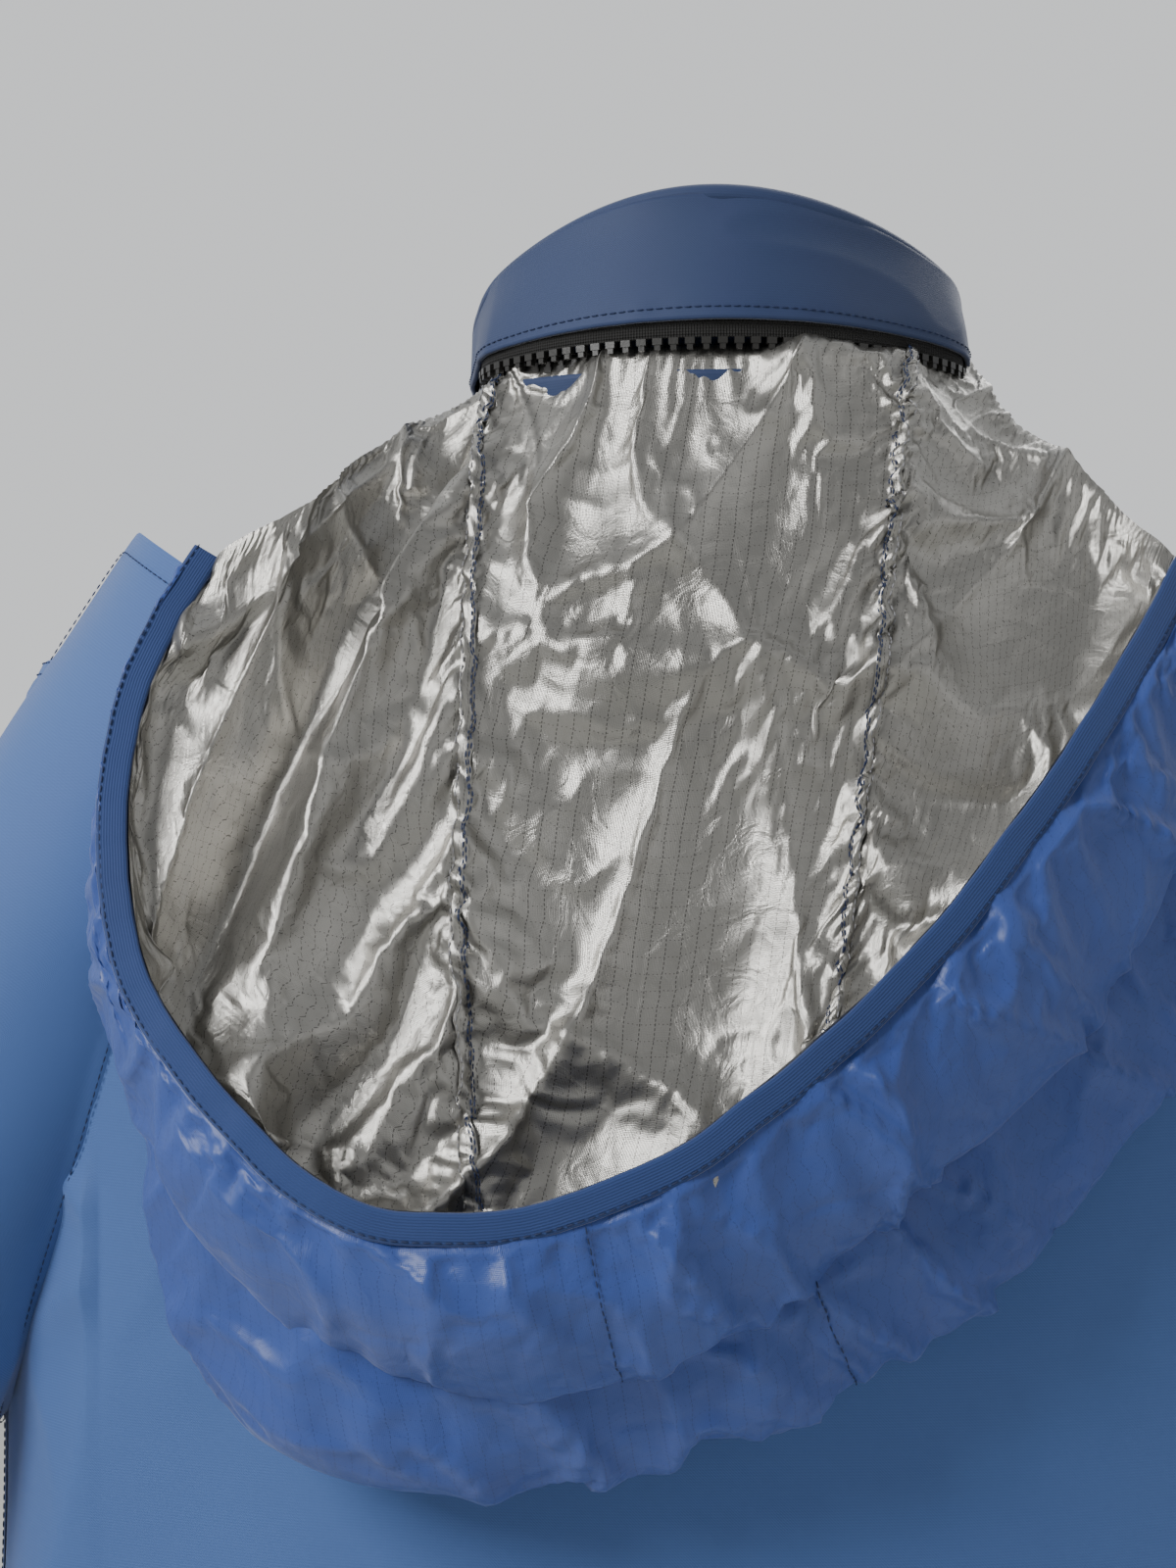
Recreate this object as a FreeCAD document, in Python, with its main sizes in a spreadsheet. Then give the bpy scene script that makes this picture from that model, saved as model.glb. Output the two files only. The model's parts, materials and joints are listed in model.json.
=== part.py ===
"""Hip-length shell jacket with a stow-away hood, as separate sewn and moulded pieces.

Millimetres, +Z up.  The wearer faces -Y and the wearer's left is +X.  The origin is
the centre of the neck opening, level with the collar seam, so everything below the
collar is negative in Z.  The jacket is drawn in the shape that it takes on a hanger: zipped at
the front, sleeves down, hood pulled out of its collar pocket and hanging behind.
"""
import FreeCAD, Part
import math
import os

SIZES = {
    # driving sizes, mm unless the name says otherwise
    "neck_radius": 84, "chest_front": "=neck_radius", "chest_back": 116,
    "body_length": 700, "body_half_width": 240,
    "shoulder_half_width": 232, "shoulder_drop": 60, "shoulder_back": 100,
    "chest_drop": 150, "fabric": 2, "gap": 0.4, "seam_allow": 0.1,
    "collar_height": 78, "collar_pocket": 8,
    "slot_low": 28, "slot_high": 36, "hem_height": 40, "yoke_depth": 66,
    "sleeve_angle": 34, "forearm_angle": 14, "upper_length": 330, "forearm_length": 235,
    "cuff_length": 60, "bicep_radius": 68, "elbow_radius": 56, "wrist_radius": 44,
    "shoulder_seat": 56, "tape_width": 10, "tape_thick": 1.2, "tape_rise": 0.6, "teeth_width": 2.6,
    "teeth_thick": 2.4, "storm_seat": 0.55, "tooth_pitch": 5, "tooth_length": 3, "front_zip_top": 70,
    "pocket_x": 150, "pocket_top": 430, "pocket_bottom": 590, "pocket_slot": 12,
    "pocket_reach": 110, "pocket_drop": 60, "pocket_room": 12,
    "slider_length": 14, "slider_width": 11, "slider_thick": 2.2,
    "pull_length": 30, "pull_width": 7, "pull_thick": 1.8,
    "collar_zip_reach": 105, "hood_seam": 60, "hood_lip": 10,
    "hood_half_width": 160, "hood_back": 204, "hood_low": 336, "hood_mouth_low": 238,
    "sleeve_set": 8, "sleeve_lead": 42,
    "loop_length": 60, "loop_width": 8, "tab_length": 70, "tab_width": 32, "tab_thick": 2,
}

doc = FreeCAD.newDocument("shell_jacket")
sheet = doc.addObject("Spreadsheet::Sheet", "Sizes")
for row, (alias, value) in enumerate(SIZES.items(), start=1):
    sheet.set(f"A{row}", alias)
    sheet.set(f"B{row}", str(value))
    sheet.setAlias(f"B{row}", alias)
doc.recompute()

pieces = []


def size(alias):
    """One driving size, read from the sheet."""
    return float(getattr(sheet, alias))


def linked(expression):
    """An expression with every driving size prefixed by the sheet's name."""
    for alias in sorted(SIZES, key=len, reverse=True):
        expression = expression.replace(f"<{alias}>", f"Sizes.{alias}")
    return expression


def bind(thing, **expressions):
    """Bind properties of an object, such as Length or Placement_Base_x, to the sheet."""
    for name, expression in expressions.items():
        thing.setExpression(name.replace("_", "."), linked(str(expression)))
    return thing


def at(thing, x="0", y="0", z="0"):
    """Bind the place of an object."""
    return bind(thing, Placement_Base_x=x, Placement_Base_y=y, Placement_Base_z=z)


def make(kind, name):
    return doc.addObject(kind, name)


def keep(thing, label):
    """Mark an object as one of the jacket's pieces."""
    thing.Label = label
    pieces.append(thing)
    return thing


def box(name, x0, x1, y0, y1, z0, z1):
    """A box between two corners given as expressions."""
    solid = make("Part::Box", name)
    bind(solid, Length=f"({x1}) - ({x0})", Width=f"({y1}) - ({y0})", Height=f"({z1}) - ({z0})")
    return at(solid, x0, y0, z0)


def cut(name, base, tool):
    result = make("Part::Cut", name)
    result.Base, result.Tool, result.Refine = base, tool, False
    return result


def common(name, *shapes):
    result = make("Part::MultiCommon", name)
    result.Shapes, result.Refine = list(shapes), False
    return result


def ellipse_loft(name, stations, inset="0"):
    """A solid through level ellipses: (z, half width, near y, far y), all expressions."""
    loft = make("Part::Loft", name)
    rings = []
    for index, (z, half_width, near, far) in enumerate(stations):
        ring = make("Part::Ellipse", f"{name}_ring{index}")
        half_depth = f"(({far}) - ({near})) / 2 - ({inset})"
        bind(ring, MajorRadius=f"({half_width}) - ({inset})", MinorRadius=half_depth)
        rings.append(at(ring, "0", f"(({far}) + ({near})) / 2", z))
    loft.Sections, loft.Solid, loft.Ruled = rings, True, True
    return loft


# ---------------------------------------------------------------- body of the jacket

FRONT = "-<chest_front>"
TORSO = [
    ("0", "<neck_radius>", FRONT, "<neck_radius>"),
    ("-<shoulder_drop>", "<shoulder_half_width>", FRONT, "<shoulder_back>"),
    ("-<chest_drop>", "<body_half_width>", FRONT, "<chest_back>"),
    ("-<body_length>", "<body_half_width>", FRONT, "<chest_back>"),
]
MID_Y = "(<chest_back> - <chest_front>) / 2"
FAR = "600"


def sleeve_cone(name, side, radius_off):
    """The upper sleeve's outline as a cone that leaves the shoulder at sleeve_angle."""
    cone = make("Part::Cone", name)
    bind(cone, Radius1=f"<bicep_radius> + ({radius_off})", Radius2=f"<elbow_radius> + ({radius_off})",
         Height="<upper_length> * 1.08")
    cone.Placement = FreeCAD.Placement(FreeCAD.Vector(), FreeCAD.Rotation(FreeCAD.Vector(0, 1, 0), 180))
    bind(cone, Placement_Rotation_Angle=f"180 - ({side}) * <sleeve_angle>")
    x = f"({side}) * (<shoulder_half_width> - <shoulder_seat> - <sleeve_set>)"
    return at(cone, x, MID_Y, "-<shoulder_drop> - <sleeve_lead>")


def torso_pieces():
    """Back, two fronts, yoke and hem band, cut from one hollow torso."""
    outer = ellipse_loft("TorsoOuter", TORSO)
    inner = ellipse_loft("TorsoInner", TORSO, "<fabric>")
    wall = cut("TorsoWall", outer, inner)
    armholes = [sleeve_cone(f"Armhole{side}", side, "-<fabric>") for side in (1, -1)]
    yoke_z = "-<yoke_depth>"
    hem_z = "<hem_height> - <body_length>"
    half = "<tape_width>"
    zones = {
        "back_panel": (f"-{FAR}", FAR, MID_Y, FAR, hem_z, yoke_z),
        "back_yoke": (f"-{FAR}", FAR, MID_Y, FAR, yoke_z, "10"),
        "front_panel_left": (half, FAR, f"-{FAR}", MID_Y, hem_z, "10"),
        "front_panel_right": (f"-{FAR}", f"-{half}", f"-{FAR}", MID_Y, hem_z, "10"),
    }
    for label, zone in zones.items():
        panel = common(f"Zone_{label}", wall, box(f"Box_{label}", *zone))
        for index, armhole in enumerate(armholes):
            panel = cut(f"Arm{index}_{label}", panel, armhole)
        for side, name in ((1, "left"), (-1, "right")):
            if label.endswith(name):
                slot = pocket_block(f"Slot_{name}", side, "-3", "20", "-<pocket_slot> / 2",
                                    "<pocket_slot> / 2", "0")
                panel = cut(f"Cut_{label}", panel, slot)
        keep(panel, label)
    ring = common("HemRing", wall, box("HemBox", f"-{FAR}", FAR, f"-{FAR}", FAR, "-<body_length>", hem_z))
    mouth = box("HemMouth", f"-{half}", half, f"-{FAR}", "0", "-<body_length> - 1", f"{hem_z} + 1")
    keep(cut("HemBand", ring, mouth), "hem_band")


def level_shell(name, off_near, off_far, z0, z1):
    """The torso's own section between two insets, from z0 up to z1."""
    def solid(tag, inset):
        stations = [(z, "<body_half_width>", FRONT, "<chest_back>") for z in (z0, z1)]
        return ellipse_loft(f"{name}_{tag}", stations, inset)
    return cut(name, solid("far", off_near), solid("near", off_far))


def pocket_block(name, side, off_near, off_far, x0, x1, grow):
    """A block that follows the front, x0 to x1 about the pocket zip and its height."""
    z0 = f"-<pocket_bottom> - ({grow})"
    z1 = "-<pocket_top>"
    shell = level_shell(f"{name}_shell", off_near, off_far, z0, z1)
    lo, hi = (x0, x1) if side > 0 else (f"-({x1})", f"-({x0})")
    middle = f"({side}) * <pocket_x>"
    return common(name, shell, box(f"{name}_box", f"{middle} + ({lo})", f"{middle} + ({hi})",
                                   f"-{FAR}", "0", z0, z1))


def pocket_pieces(side, name):
    """A hand-pocket bag behind the front, open at its zip."""
    thick = "<fabric> / 2"
    near, far = "<fabric> + 0.3", f"<fabric> + 0.3 + <pocket_room>"
    edge = "<pocket_slot> / 2 + 4"
    outside = pocket_block(f"BagOut_{name}", side, near, far, "-<pocket_reach>", edge, "<pocket_drop>")
    shell_in = level_shell(f"BagIn_{name}_s", f"{near} + {thick}", f"{far} - {thick}",
                           f"-<pocket_bottom> - <pocket_drop> + {thick}", f"-<pocket_top> - {thick}")
    lo, hi = (f"-<pocket_reach> + {thick}", f"{edge} - {thick}")
    if side < 0:
        lo, hi = f"-({hi})", f"-({lo})"
    middle = f"({side}) * <pocket_x>"
    hollow = common(f"BagIn_{name}", shell_in, box(
        f"BagIn_{name}_b", f"{middle} + ({lo})", f"{middle} + ({hi})", f"-{FAR}", "0",
        f"-<pocket_bottom> - <pocket_drop> + {thick}", f"-<pocket_top> - {thick}"))
    bag = cut(f"Bag_{name}", outside, hollow)
    mouth = pocket_block(f"BagMouth_{name}", side, "-3", f"{near} + {thick} + 1",
                         "-<pocket_slot> / 2", "<pocket_slot> / 2", "0")
    keep(cut(f"BagOpen_{name}", bag, mouth), f"pocket_bag_{name}")


# ---------------------------------------------------------------- collar

def ring(name, radius, thick, z0, z1, half_gap="<tape_width>"):
    """A collar wall: an upright ring, open at the front for the main zip."""
    outer, inner = make("Part::Cylinder", f"{name}_o"), make("Part::Cylinder", f"{name}_i")
    bind(outer, Radius=radius, Height=f"({z1}) - ({z0})")
    bind(inner, Radius=f"({radius}) - ({thick})", Height=f"({z1}) - ({z0}) + 2")
    at(outer, z=z0)
    at(inner, z=f"({z0}) - 1")
    wall = cut(f"{name}_w", outer, inner)
    mouth = box(f"{name}_m", f"-({half_gap})", half_gap, f"-{FAR}", "0", f"({z0}) - 1", f"({z1}) + 1")
    return cut(name, wall, mouth)


def sector(name, radius_in, radius_out, z0, z1, reach):
    """A ring sector centred on the back (+Y), reach degrees to each side."""
    outer, inner = make("Part::Cylinder", f"{name}_o"), make("Part::Cylinder", f"{name}_i")
    for part, radius in ((outer, radius_out), (inner, radius_in)):
        part.Placement = FreeCAD.Placement(FreeCAD.Vector(), FreeCAD.Rotation(FreeCAD.Vector(0, 0, 1), 45))
        bind(part, Radius=radius, Height=f"({z1}) - ({z0})", Angle=f"2 * ({reach})",
             Placement_Rotation_Angle=f"90 - ({reach})")
        at(part, z=z0)
    return cut(name, outer, inner)


def collar_pieces():
    radius, thick = "<neck_radius>", "<fabric>"
    keep(ring("CollarBase", radius, thick, "<seam_allow>", "<slot_low>"), "collar_base")
    top = ring("CollarTop", radius, thick, "<slot_low>", "<collar_height>")
    slot = sector("CollarSlot", f"{radius} - 10", f"{radius} + 10", "<slot_low>", "<slot_high>",
                  "<collar_zip_reach>")
    keep(cut("CollarFlap", top, slot), "collar_flap")
    inner = f"{radius} - {thick} - <collar_pocket>"
    keep(ring("CollarInner", inner, thick, "<seam_allow>", "<collar_height>"), "collar_inner")
    top_ring = ring("CollarEdge", radius, f"2 * {thick} + <collar_pocket>", "<collar_height>",
                    f"<collar_height> + {thick}")
    keep(top_ring, "collar_top_edge")
    neck = ring("NeckTape", f"{radius} - {thick} - <gap>", f"{thick} + <collar_pocket> - <gap>",
                f"<seam_allow> - {thick}", "<seam_allow>")
    keep(neck, "neck_tape")
    reach = "<collar_zip_reach>"
    out = f"{radius} - {thick} - <seam_allow>"
    keep(sector("ZipTapeLow", f"{out} - <tape_thick>", out, "<slot_low> - <tape_width>",
                "<slot_low> + <tape_rise>", reach), "collar_zip_tape_lower")
    keep(sector("ZipTapeHigh", f"{out} - <tape_thick>", out, "<slot_high> - <tape_rise>",
                "<slot_high> + <tape_width>", reach), "collar_zip_tape_upper")
    for label, z in (("collar_zip_teeth_lower", size("slot_low") + size("tape_rise")),
                     ("collar_zip_teeth_upper", size("slot_high") - size("tape_rise") - size("teeth_width"))):
        keep(curved_teeth(label, z), label)


def curved_teeth(label, z):
    """Moulded teeth round the back of the collar, one block a pitch apart."""
    radius = size("neck_radius") - size("fabric") - size("tape_thick") / 2
    reach = math.radians(size("collar_zip_reach")) - size("tooth_pitch") / radius
    count = int(2 * reach * radius / size("tooth_pitch"))
    thick, long, tall = size("teeth_thick"), size("tooth_length"), size("teeth_width")
    blocks = []
    for index in range(count + 1):
        turn = math.degrees(reach) * (2 * index / count - 1)
        block = Part.makeBox(long, thick, tall, FreeCAD.Vector(-long / 2, radius - thick / 2, z))
        block.rotate(FreeCAD.Vector(), FreeCAD.Vector(0, 0, 1), turn)
        blocks.append(block)
    group = make("Part::Feature", label + "_group")
    group.Shape = Part.makeCompound(blocks)
    return group


# ---------------------------------------------------------------- zips

def comb(label, place, length, side, shift):
    """One side of a straight chain of teeth on its bead, from z = 0 up, as one solid."""
    pitch, tooth, width = size("tooth_pitch"), size("tooth_length"), size("teeth_width")
    bead = width / 2.5
    points = [(width, 0), (width, length), (width - bead, length)]
    count = int((length - 2 * pitch) / pitch)
    for index in range(count, -1, -1):
        low = pitch * (index + 0.5) + shift
        points += [(width - bead, low + tooth), (0.1, low + tooth), (0.1, low), (width - bead, low)]
    points += [(width - bead, 0), (width, 0)]
    thick = size("teeth_thick")
    loop = [FreeCAD.Vector(side * x, -thick / 2, z) for x, z in points]
    chain = make("Part::Feature", label)
    chain.Shape = Part.Face(Part.makePolygon(loop)).extrude(FreeCAD.Vector(0, thick, 0))
    chain.Placement = place
    return chain


def slider(label, place):
    """A slider's face plate with two cheeks that carry the pull's bar."""
    long, wide, thick = size("slider_length"), size("slider_width"), size("slider_thick")
    plate = Part.makeBox(wide, thick, long, FreeCAD.Vector(-wide / 2, -thick, -long))
    cheek_x = size("pull_width") / 2 - 1.4
    cheeks = [Part.makeBox(1, 4.2, 5, FreeCAD.Vector(x, -thick - 4.2, -long / 2 - 1))
              for x in (-cheek_x - 1, cheek_x)]
    body = plate.fuse(cheeks).removeSplitter()
    piece = make("Part::Feature", label)
    piece.Shape = body
    piece.Placement = place
    return keep(piece, label)


def pull(label, place):
    """A moulded pull: a tapered tab hung by a bar between the slider's cheeks."""
    long, wide, thick = size("pull_length"), size("pull_width"), size("pull_thick")
    cheek_x = wide / 2 - 1.4
    middle = -size("slider_length") / 2 + 1
    bar_y = -size("slider_thick") - 2.6
    bar = Part.makeCylinder(0.9, 2 * cheek_x - 0.7, FreeCAD.Vector(-cheek_x + 0.35, bar_y, middle),
                            FreeCAD.Vector(1, 0, 0))
    stem = Part.makeBox(2 * cheek_x - 0.7, thick, 8, FreeCAD.Vector(-cheek_x + 0.35, bar_y - thick / 2,
                                                                   middle - 8))
    tab = Part.makeBox(wide, thick, long - 8, FreeCAD.Vector(-wide / 2, bar_y - thick / 2, middle - long))
    piece = make("Part::Feature", label)
    piece.Shape = bar.fuse([stem, tab]).removeSplitter()
    piece.Placement = place
    return keep(piece, label)


def straight_zip(name, place, length, tape_names, teeth_names):
    """Tapes and teeth on both sides of a straight zip that starts at place."""
    thick, width = size("tape_thick"), size("tape_width")
    inner = size("teeth_width")
    for side, tape_label, teeth_label in zip((1, -1), tape_names, teeth_names):
        low = min(side * inner, side * width)
        strip = Part.makeBox(width - inner, thick, length, FreeCAD.Vector(low, -thick / 2, 0))
        tape = make("Part::Feature", tape_label)
        tape.Shape = strip
        tape.Placement = place
        keep(tape, tape_label)
        shift = 0 if side > 0 else size("tooth_pitch") / 2
        keep(comb(teeth_label, place, length, side, shift), teeth_label)


def front_zip():
    """The main zip, straight up the front edge and the collar."""
    length = size("body_length") + size("front_zip_top")
    y = -size("chest_front") + size("fabric") / 2
    place = FreeCAD.Placement(FreeCAD.Vector(0, y, -size("body_length")), FreeCAD.Rotation())
    straight_zip("front", place, length, ("front_zip_tape_left", "front_zip_tape_right"),
                 ("front_zip_teeth_left", "front_zip_teeth_right"))
    top = FreeCAD.Vector(0, y - size("teeth_thick") / 2 - 0.3, size("front_zip_top") - 2)
    seat = FreeCAD.Placement(top, FreeCAD.Rotation())
    slider("front_zip_slider", seat)
    pull("front_zip_pull", seat)
    low = -size("body_length")
    box_wide = 2 * size("teeth_width") + 3
    front = y - size("teeth_thick") / 2 - 1.8
    retainer = Part.makeBox(box_wide, 1.8, 11, FreeCAD.Vector(-box_wide / 2, front, low))
    piece = make("Part::Feature", "front_zip_retainer")
    piece.Shape = retainer
    keep(piece, "front_zip_retainer")
    behind = y + size("teeth_thick") / 2
    stops = [Part.makeBox(3, 1.4, 3, FreeCAD.Vector(x, behind, size("front_zip_top") - 4))
             for x in (-3.4, 0.4)]
    piece = make("Part::Feature", "front_zip_top_stops")
    piece.Shape = Part.makeCompound(stops)
    keep(piece, "front_zip_top_stops")
    guard = box("StormBox", "-<tape_width> * 2.2", "<tape_width> * 2.2", f"{FRONT} + <fabric> + <storm_seat>",
                f"{FRONT} + <fabric> + <storm_seat> + 1", "-<body_length> + 6", "-<shoulder_drop>")
    keep(guard, "storm_flap")


def front_surface(x):
    """Y and outward turn, in degrees about Z, of the chest at x, below chest_drop."""
    half, depth = size("body_half_width"), (size("chest_back") + size("chest_front")) / 2
    centre = (size("chest_back") - size("chest_front")) / 2
    y = centre - depth * math.sqrt(1 - (x / half) ** 2)
    slope = math.atan2(x / half ** 2, (centre - y) / depth ** 2)
    return y, math.degrees(slope)


def pocket_zip(side, name):
    x = side * size("pocket_x")
    y, turn = front_surface(x)
    rotation = FreeCAD.Rotation(FreeCAD.Vector(0, 0, 1), turn)
    lift = size("teeth_thick") / 2 + size("seam_allow")
    out = rotation.multVec(FreeCAD.Vector(0, -lift, 0))
    low = -size("pocket_bottom") - 4
    length = size("pocket_bottom") - size("pocket_top") + 8
    place = FreeCAD.Placement(FreeCAD.Vector(x, y, low) + out, rotation)
    thick, width, inner = size("tape_thick"), size("tape_width"), size("teeth_width")
    tapes, chains = [], []
    for part in (1, -1):
        edge = min(part * inner, part * width)
        tapes.append(Part.makeBox(width - inner, thick, length, FreeCAD.Vector(edge, -thick / 2, 0)))
        shift = 0 if part > 0 else size("tooth_pitch") / 2
        chain = comb(f"chain_{name}_{part}", FreeCAD.Placement(), length, part, shift)
        chains.append(chain.Shape.copy())
        doc.removeObject(chain.Name)
    for label, shapes in ((f"pocket_zip_tape_{name}", tapes), (f"pocket_zip_teeth_{name}", chains)):
        piece = make("Part::Feature", label)
        piece.Shape = Part.makeCompound(shapes)
        piece.Placement = place
        keep(piece, label)
    out = rotation.multVec(FreeCAD.Vector(0, -lift - size("teeth_thick") / 2 - 0.3, 0))
    seat = FreeCAD.Placement(FreeCAD.Vector(x, y, -size("pocket_top") + 2) + out, rotation)
    slider(f"pocket_zip_slider_{name}", seat)
    pull(f"pocket_zip_pull_{name}", seat)


def collar_zip_slider():
    """The stow-pocket slider, parked at the open end of its chain."""
    turn = size("collar_zip_reach") - 4
    radius = size("neck_radius")
    angle = math.radians(90 + turn)
    spot = FreeCAD.Vector(math.cos(angle), math.sin(angle), 0)
    # its face looks outwards and its length lies along the chain
    upright = FreeCAD.Rotation(FreeCAD.Vector(0, 0, 1), math.degrees(angle) + 90)
    lie = FreeCAD.Rotation(FreeCAD.Vector(0, 1, 0), -90)
    middle = (size("slot_low") + size("slot_high")) / 2
    seat = FreeCAD.Placement(spot * (radius + 0.4) + FreeCAD.Vector(0, 0, middle), upright * lie)
    slider("collar_zip_slider", seat)
    pull("collar_zip_pull", seat)


# ---------------------------------------------------------------- sleeves

def axis_point(side, upper, fore):
    """A point on the sleeve's centre line after given upper and forearm lengths."""
    start_x = size("shoulder_half_width") - size("shoulder_seat") - size("sleeve_set")
    a, b = math.radians(size("sleeve_angle")), math.radians(size("forearm_angle"))
    x = start_x + upper * math.sin(a) + fore * math.sin(b)
    z = -size("shoulder_drop") - size("sleeve_lead") - upper * math.cos(a) - fore * math.cos(b)
    y = (size("chest_back") - size("chest_front")) / 2
    return FreeCAD.Vector(side * x, y, z)


def half_space(side, point, angle_deg, beyond):
    """A large block on one side of a plane square to the sleeve's centre line."""
    block = Part.makeBox(1200, 1200, 1200, FreeCAD.Vector(-600, -600, 0))
    if beyond:
        block = Part.makeBox(1200, 1200, 1200, FreeCAD.Vector(-600, -600, -1200))
    block.rotate(FreeCAD.Vector(), FreeCAD.Vector(0, 1, 0), -side * angle_deg)
    block.translate(point)
    return block


def cone_between(start, end, r_start, r_end, grow=0.0):
    """A cone from start to end, run on by grow past each end."""
    along = end - start
    length = along.Length
    slope = (r_end - r_start) / length
    unit = FreeCAD.Vector(along).normalize()
    return Part.makeCone(r_start - slope * grow, r_end + slope * grow, length + 2 * grow,
                         start - unit * grow, unit)


def sleeve_pieces(side, name):
    """Upper sleeve, forearm and cuff, each a tube with an open end."""
    fabric, gap = size("fabric"), size("gap")
    shoulder, elbow = axis_point(side, 0, 0), axis_point(side, size("upper_length"), 0)
    wrist = axis_point(side, size("upper_length"), size("forearm_length"))
    hand = axis_point(side, size("upper_length"), size("forearm_length") + size("cuff_length"))
    bicep, bend, cuff = size("bicep_radius"), size("elbow_radius"), size("wrist_radius")
    mitre = (size("sleeve_angle") + size("forearm_angle")) / 2

    long_end = elbow + (elbow - shoulder) * 0.1
    long_radius = bend + (bend - bicep) * 0.1
    upper = cone_between(shoulder, long_end, bicep, long_radius)
    hollow = cone_between(shoulder, long_end, bicep - fabric, long_radius - fabric)
    tube = upper.cut(hollow).cut(half_space(side, elbow, mitre, True)).cut(torso_clear())
    piece = make("Part::Feature", f"upper_sleeve_{name}")
    piece.Shape = largest(tube)
    keep(piece, f"upper_sleeve_{name}")

    run = (wrist - elbow) * 0.15
    fore_start, fore_radius = elbow - run, bend + (bend - cuff) * 0.15
    fore = cone_between(fore_start, wrist, fore_radius, cuff).cut(
        cone_between(fore_start, wrist, fore_radius - fabric, cuff - fabric))
    down = FreeCAD.Vector(side * math.sin(math.radians(mitre)), 0, -math.cos(math.radians(mitre)))
    fore = fore.cut(half_space(side, elbow + down * gap, mitre, False))
    piece = make("Part::Feature", f"forearm_sleeve_{name}")
    piece.Shape = largest(fore)
    keep(piece, f"forearm_sleeve_{name}")

    band = cone_between(wrist, hand, cuff, cuff - 2).cut(
        cone_between(wrist, hand, cuff - fabric * 1.5, cuff - 2 - fabric * 1.5))
    piece = make("Part::Feature", f"cuff_{name}")
    piece.Shape = band
    keep(piece, f"cuff_{name}")
    cuff_tab(side, name, wrist, hand, cuff)


def cuff_tab(side, name, wrist, hand, cuff):
    """A hook-and-loop strap that lies round the outside of the cuff."""
    thick, long, wide = size("tab_thick"), size("tab_length"), size("tab_width")
    unit = FreeCAD.Vector(hand - wrist).normalize()
    low = wrist + unit * ((size("cuff_length") - wide) / 2)
    inside = cuff + 0.35
    sleeve = Part.makeCylinder(inside + thick, wide, low, unit).cut(
        Part.makeCylinder(inside, wide, low, unit))
    half_turn = math.degrees(long / inside)
    wedge = Part.makeCylinder(inside * 2, wide, FreeCAD.Vector(), FreeCAD.Vector(0, 0, 1), half_turn)
    start = -90 if side > 0 else 270 - half_turn
    wedge.rotate(FreeCAD.Vector(), FreeCAD.Vector(0, 0, 1), start + 45 * side)
    wedge.translate(FreeCAD.Vector(0, 0, -wide))
    wedge.rotate(FreeCAD.Vector(), FreeCAD.Vector(0, 1, 0), -side * size("forearm_angle"))
    wedge.translate(low)
    piece = make("Part::Feature", f"cuff_tab_{name}")
    piece.Shape = sleeve.common(wedge)
    keep(piece, f"cuff_tab_{name}")


def largest(shape):
    """The main solid of a cut, without the slivers that the cut leaves beside it."""
    return max(shape.Solids, key=lambda solid: solid.Volume)


def torso_clear():
    """The torso's outline with the running gap round it, for what lies against it."""
    if "TorsoClear" not in [thing.Name for thing in doc.Objects]:
        ellipse_loft("TorsoClear", TORSO, "-<gap>")
        doc.recompute()
    return doc.getObject("TorsoClear").Shape


# ---------------------------------------------------------------- hood

HOOD = [
    ("24", "<neck_radius> + 16", "<neck_radius> + 8", "<neck_radius> + 30"),
    ("-20", "<neck_radius> + 44", "<neck_radius> + 15", "<neck_radius> + 66"),
    ("-110", "<hood_half_width>", "<chest_back>", "<hood_back> - 8"),
    ("-200", "<hood_half_width> - 4", "<chest_back> + 1.5", "<hood_back>"),
    ("-<hood_low> + 46", "<hood_half_width> - 48", "<chest_back> + 2", "<hood_back> - 18"),
    ("-<hood_low>", "<hood_half_width> - 114", "<chest_back> + 3", "<hood_back> - 54"),
]


def hood_cut(name, drop):
    """Everything outside the face opening, a slope from the neck to the hood's lip."""
    top = FreeCAD.Vector(0, size("neck_radius") + 8, size("slot_high") - 2 - drop)
    lip = FreeCAD.Vector(0, size("hood_back"), -size("hood_mouth_low") - drop)
    slope = math.degrees(math.atan2(top.z - lip.z, lip.y - top.y))
    block = make("Part::Box", name)
    block.Length, block.Width, block.Height = 600, 900, 600
    rotation = FreeCAD.Rotation(FreeCAD.Vector(1, 0, 0), -slope)
    corner = top + rotation.multVec(FreeCAD.Vector(-300, -300, 0))
    block.Placement = FreeCAD.Placement(corner, rotation)
    return block


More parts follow.
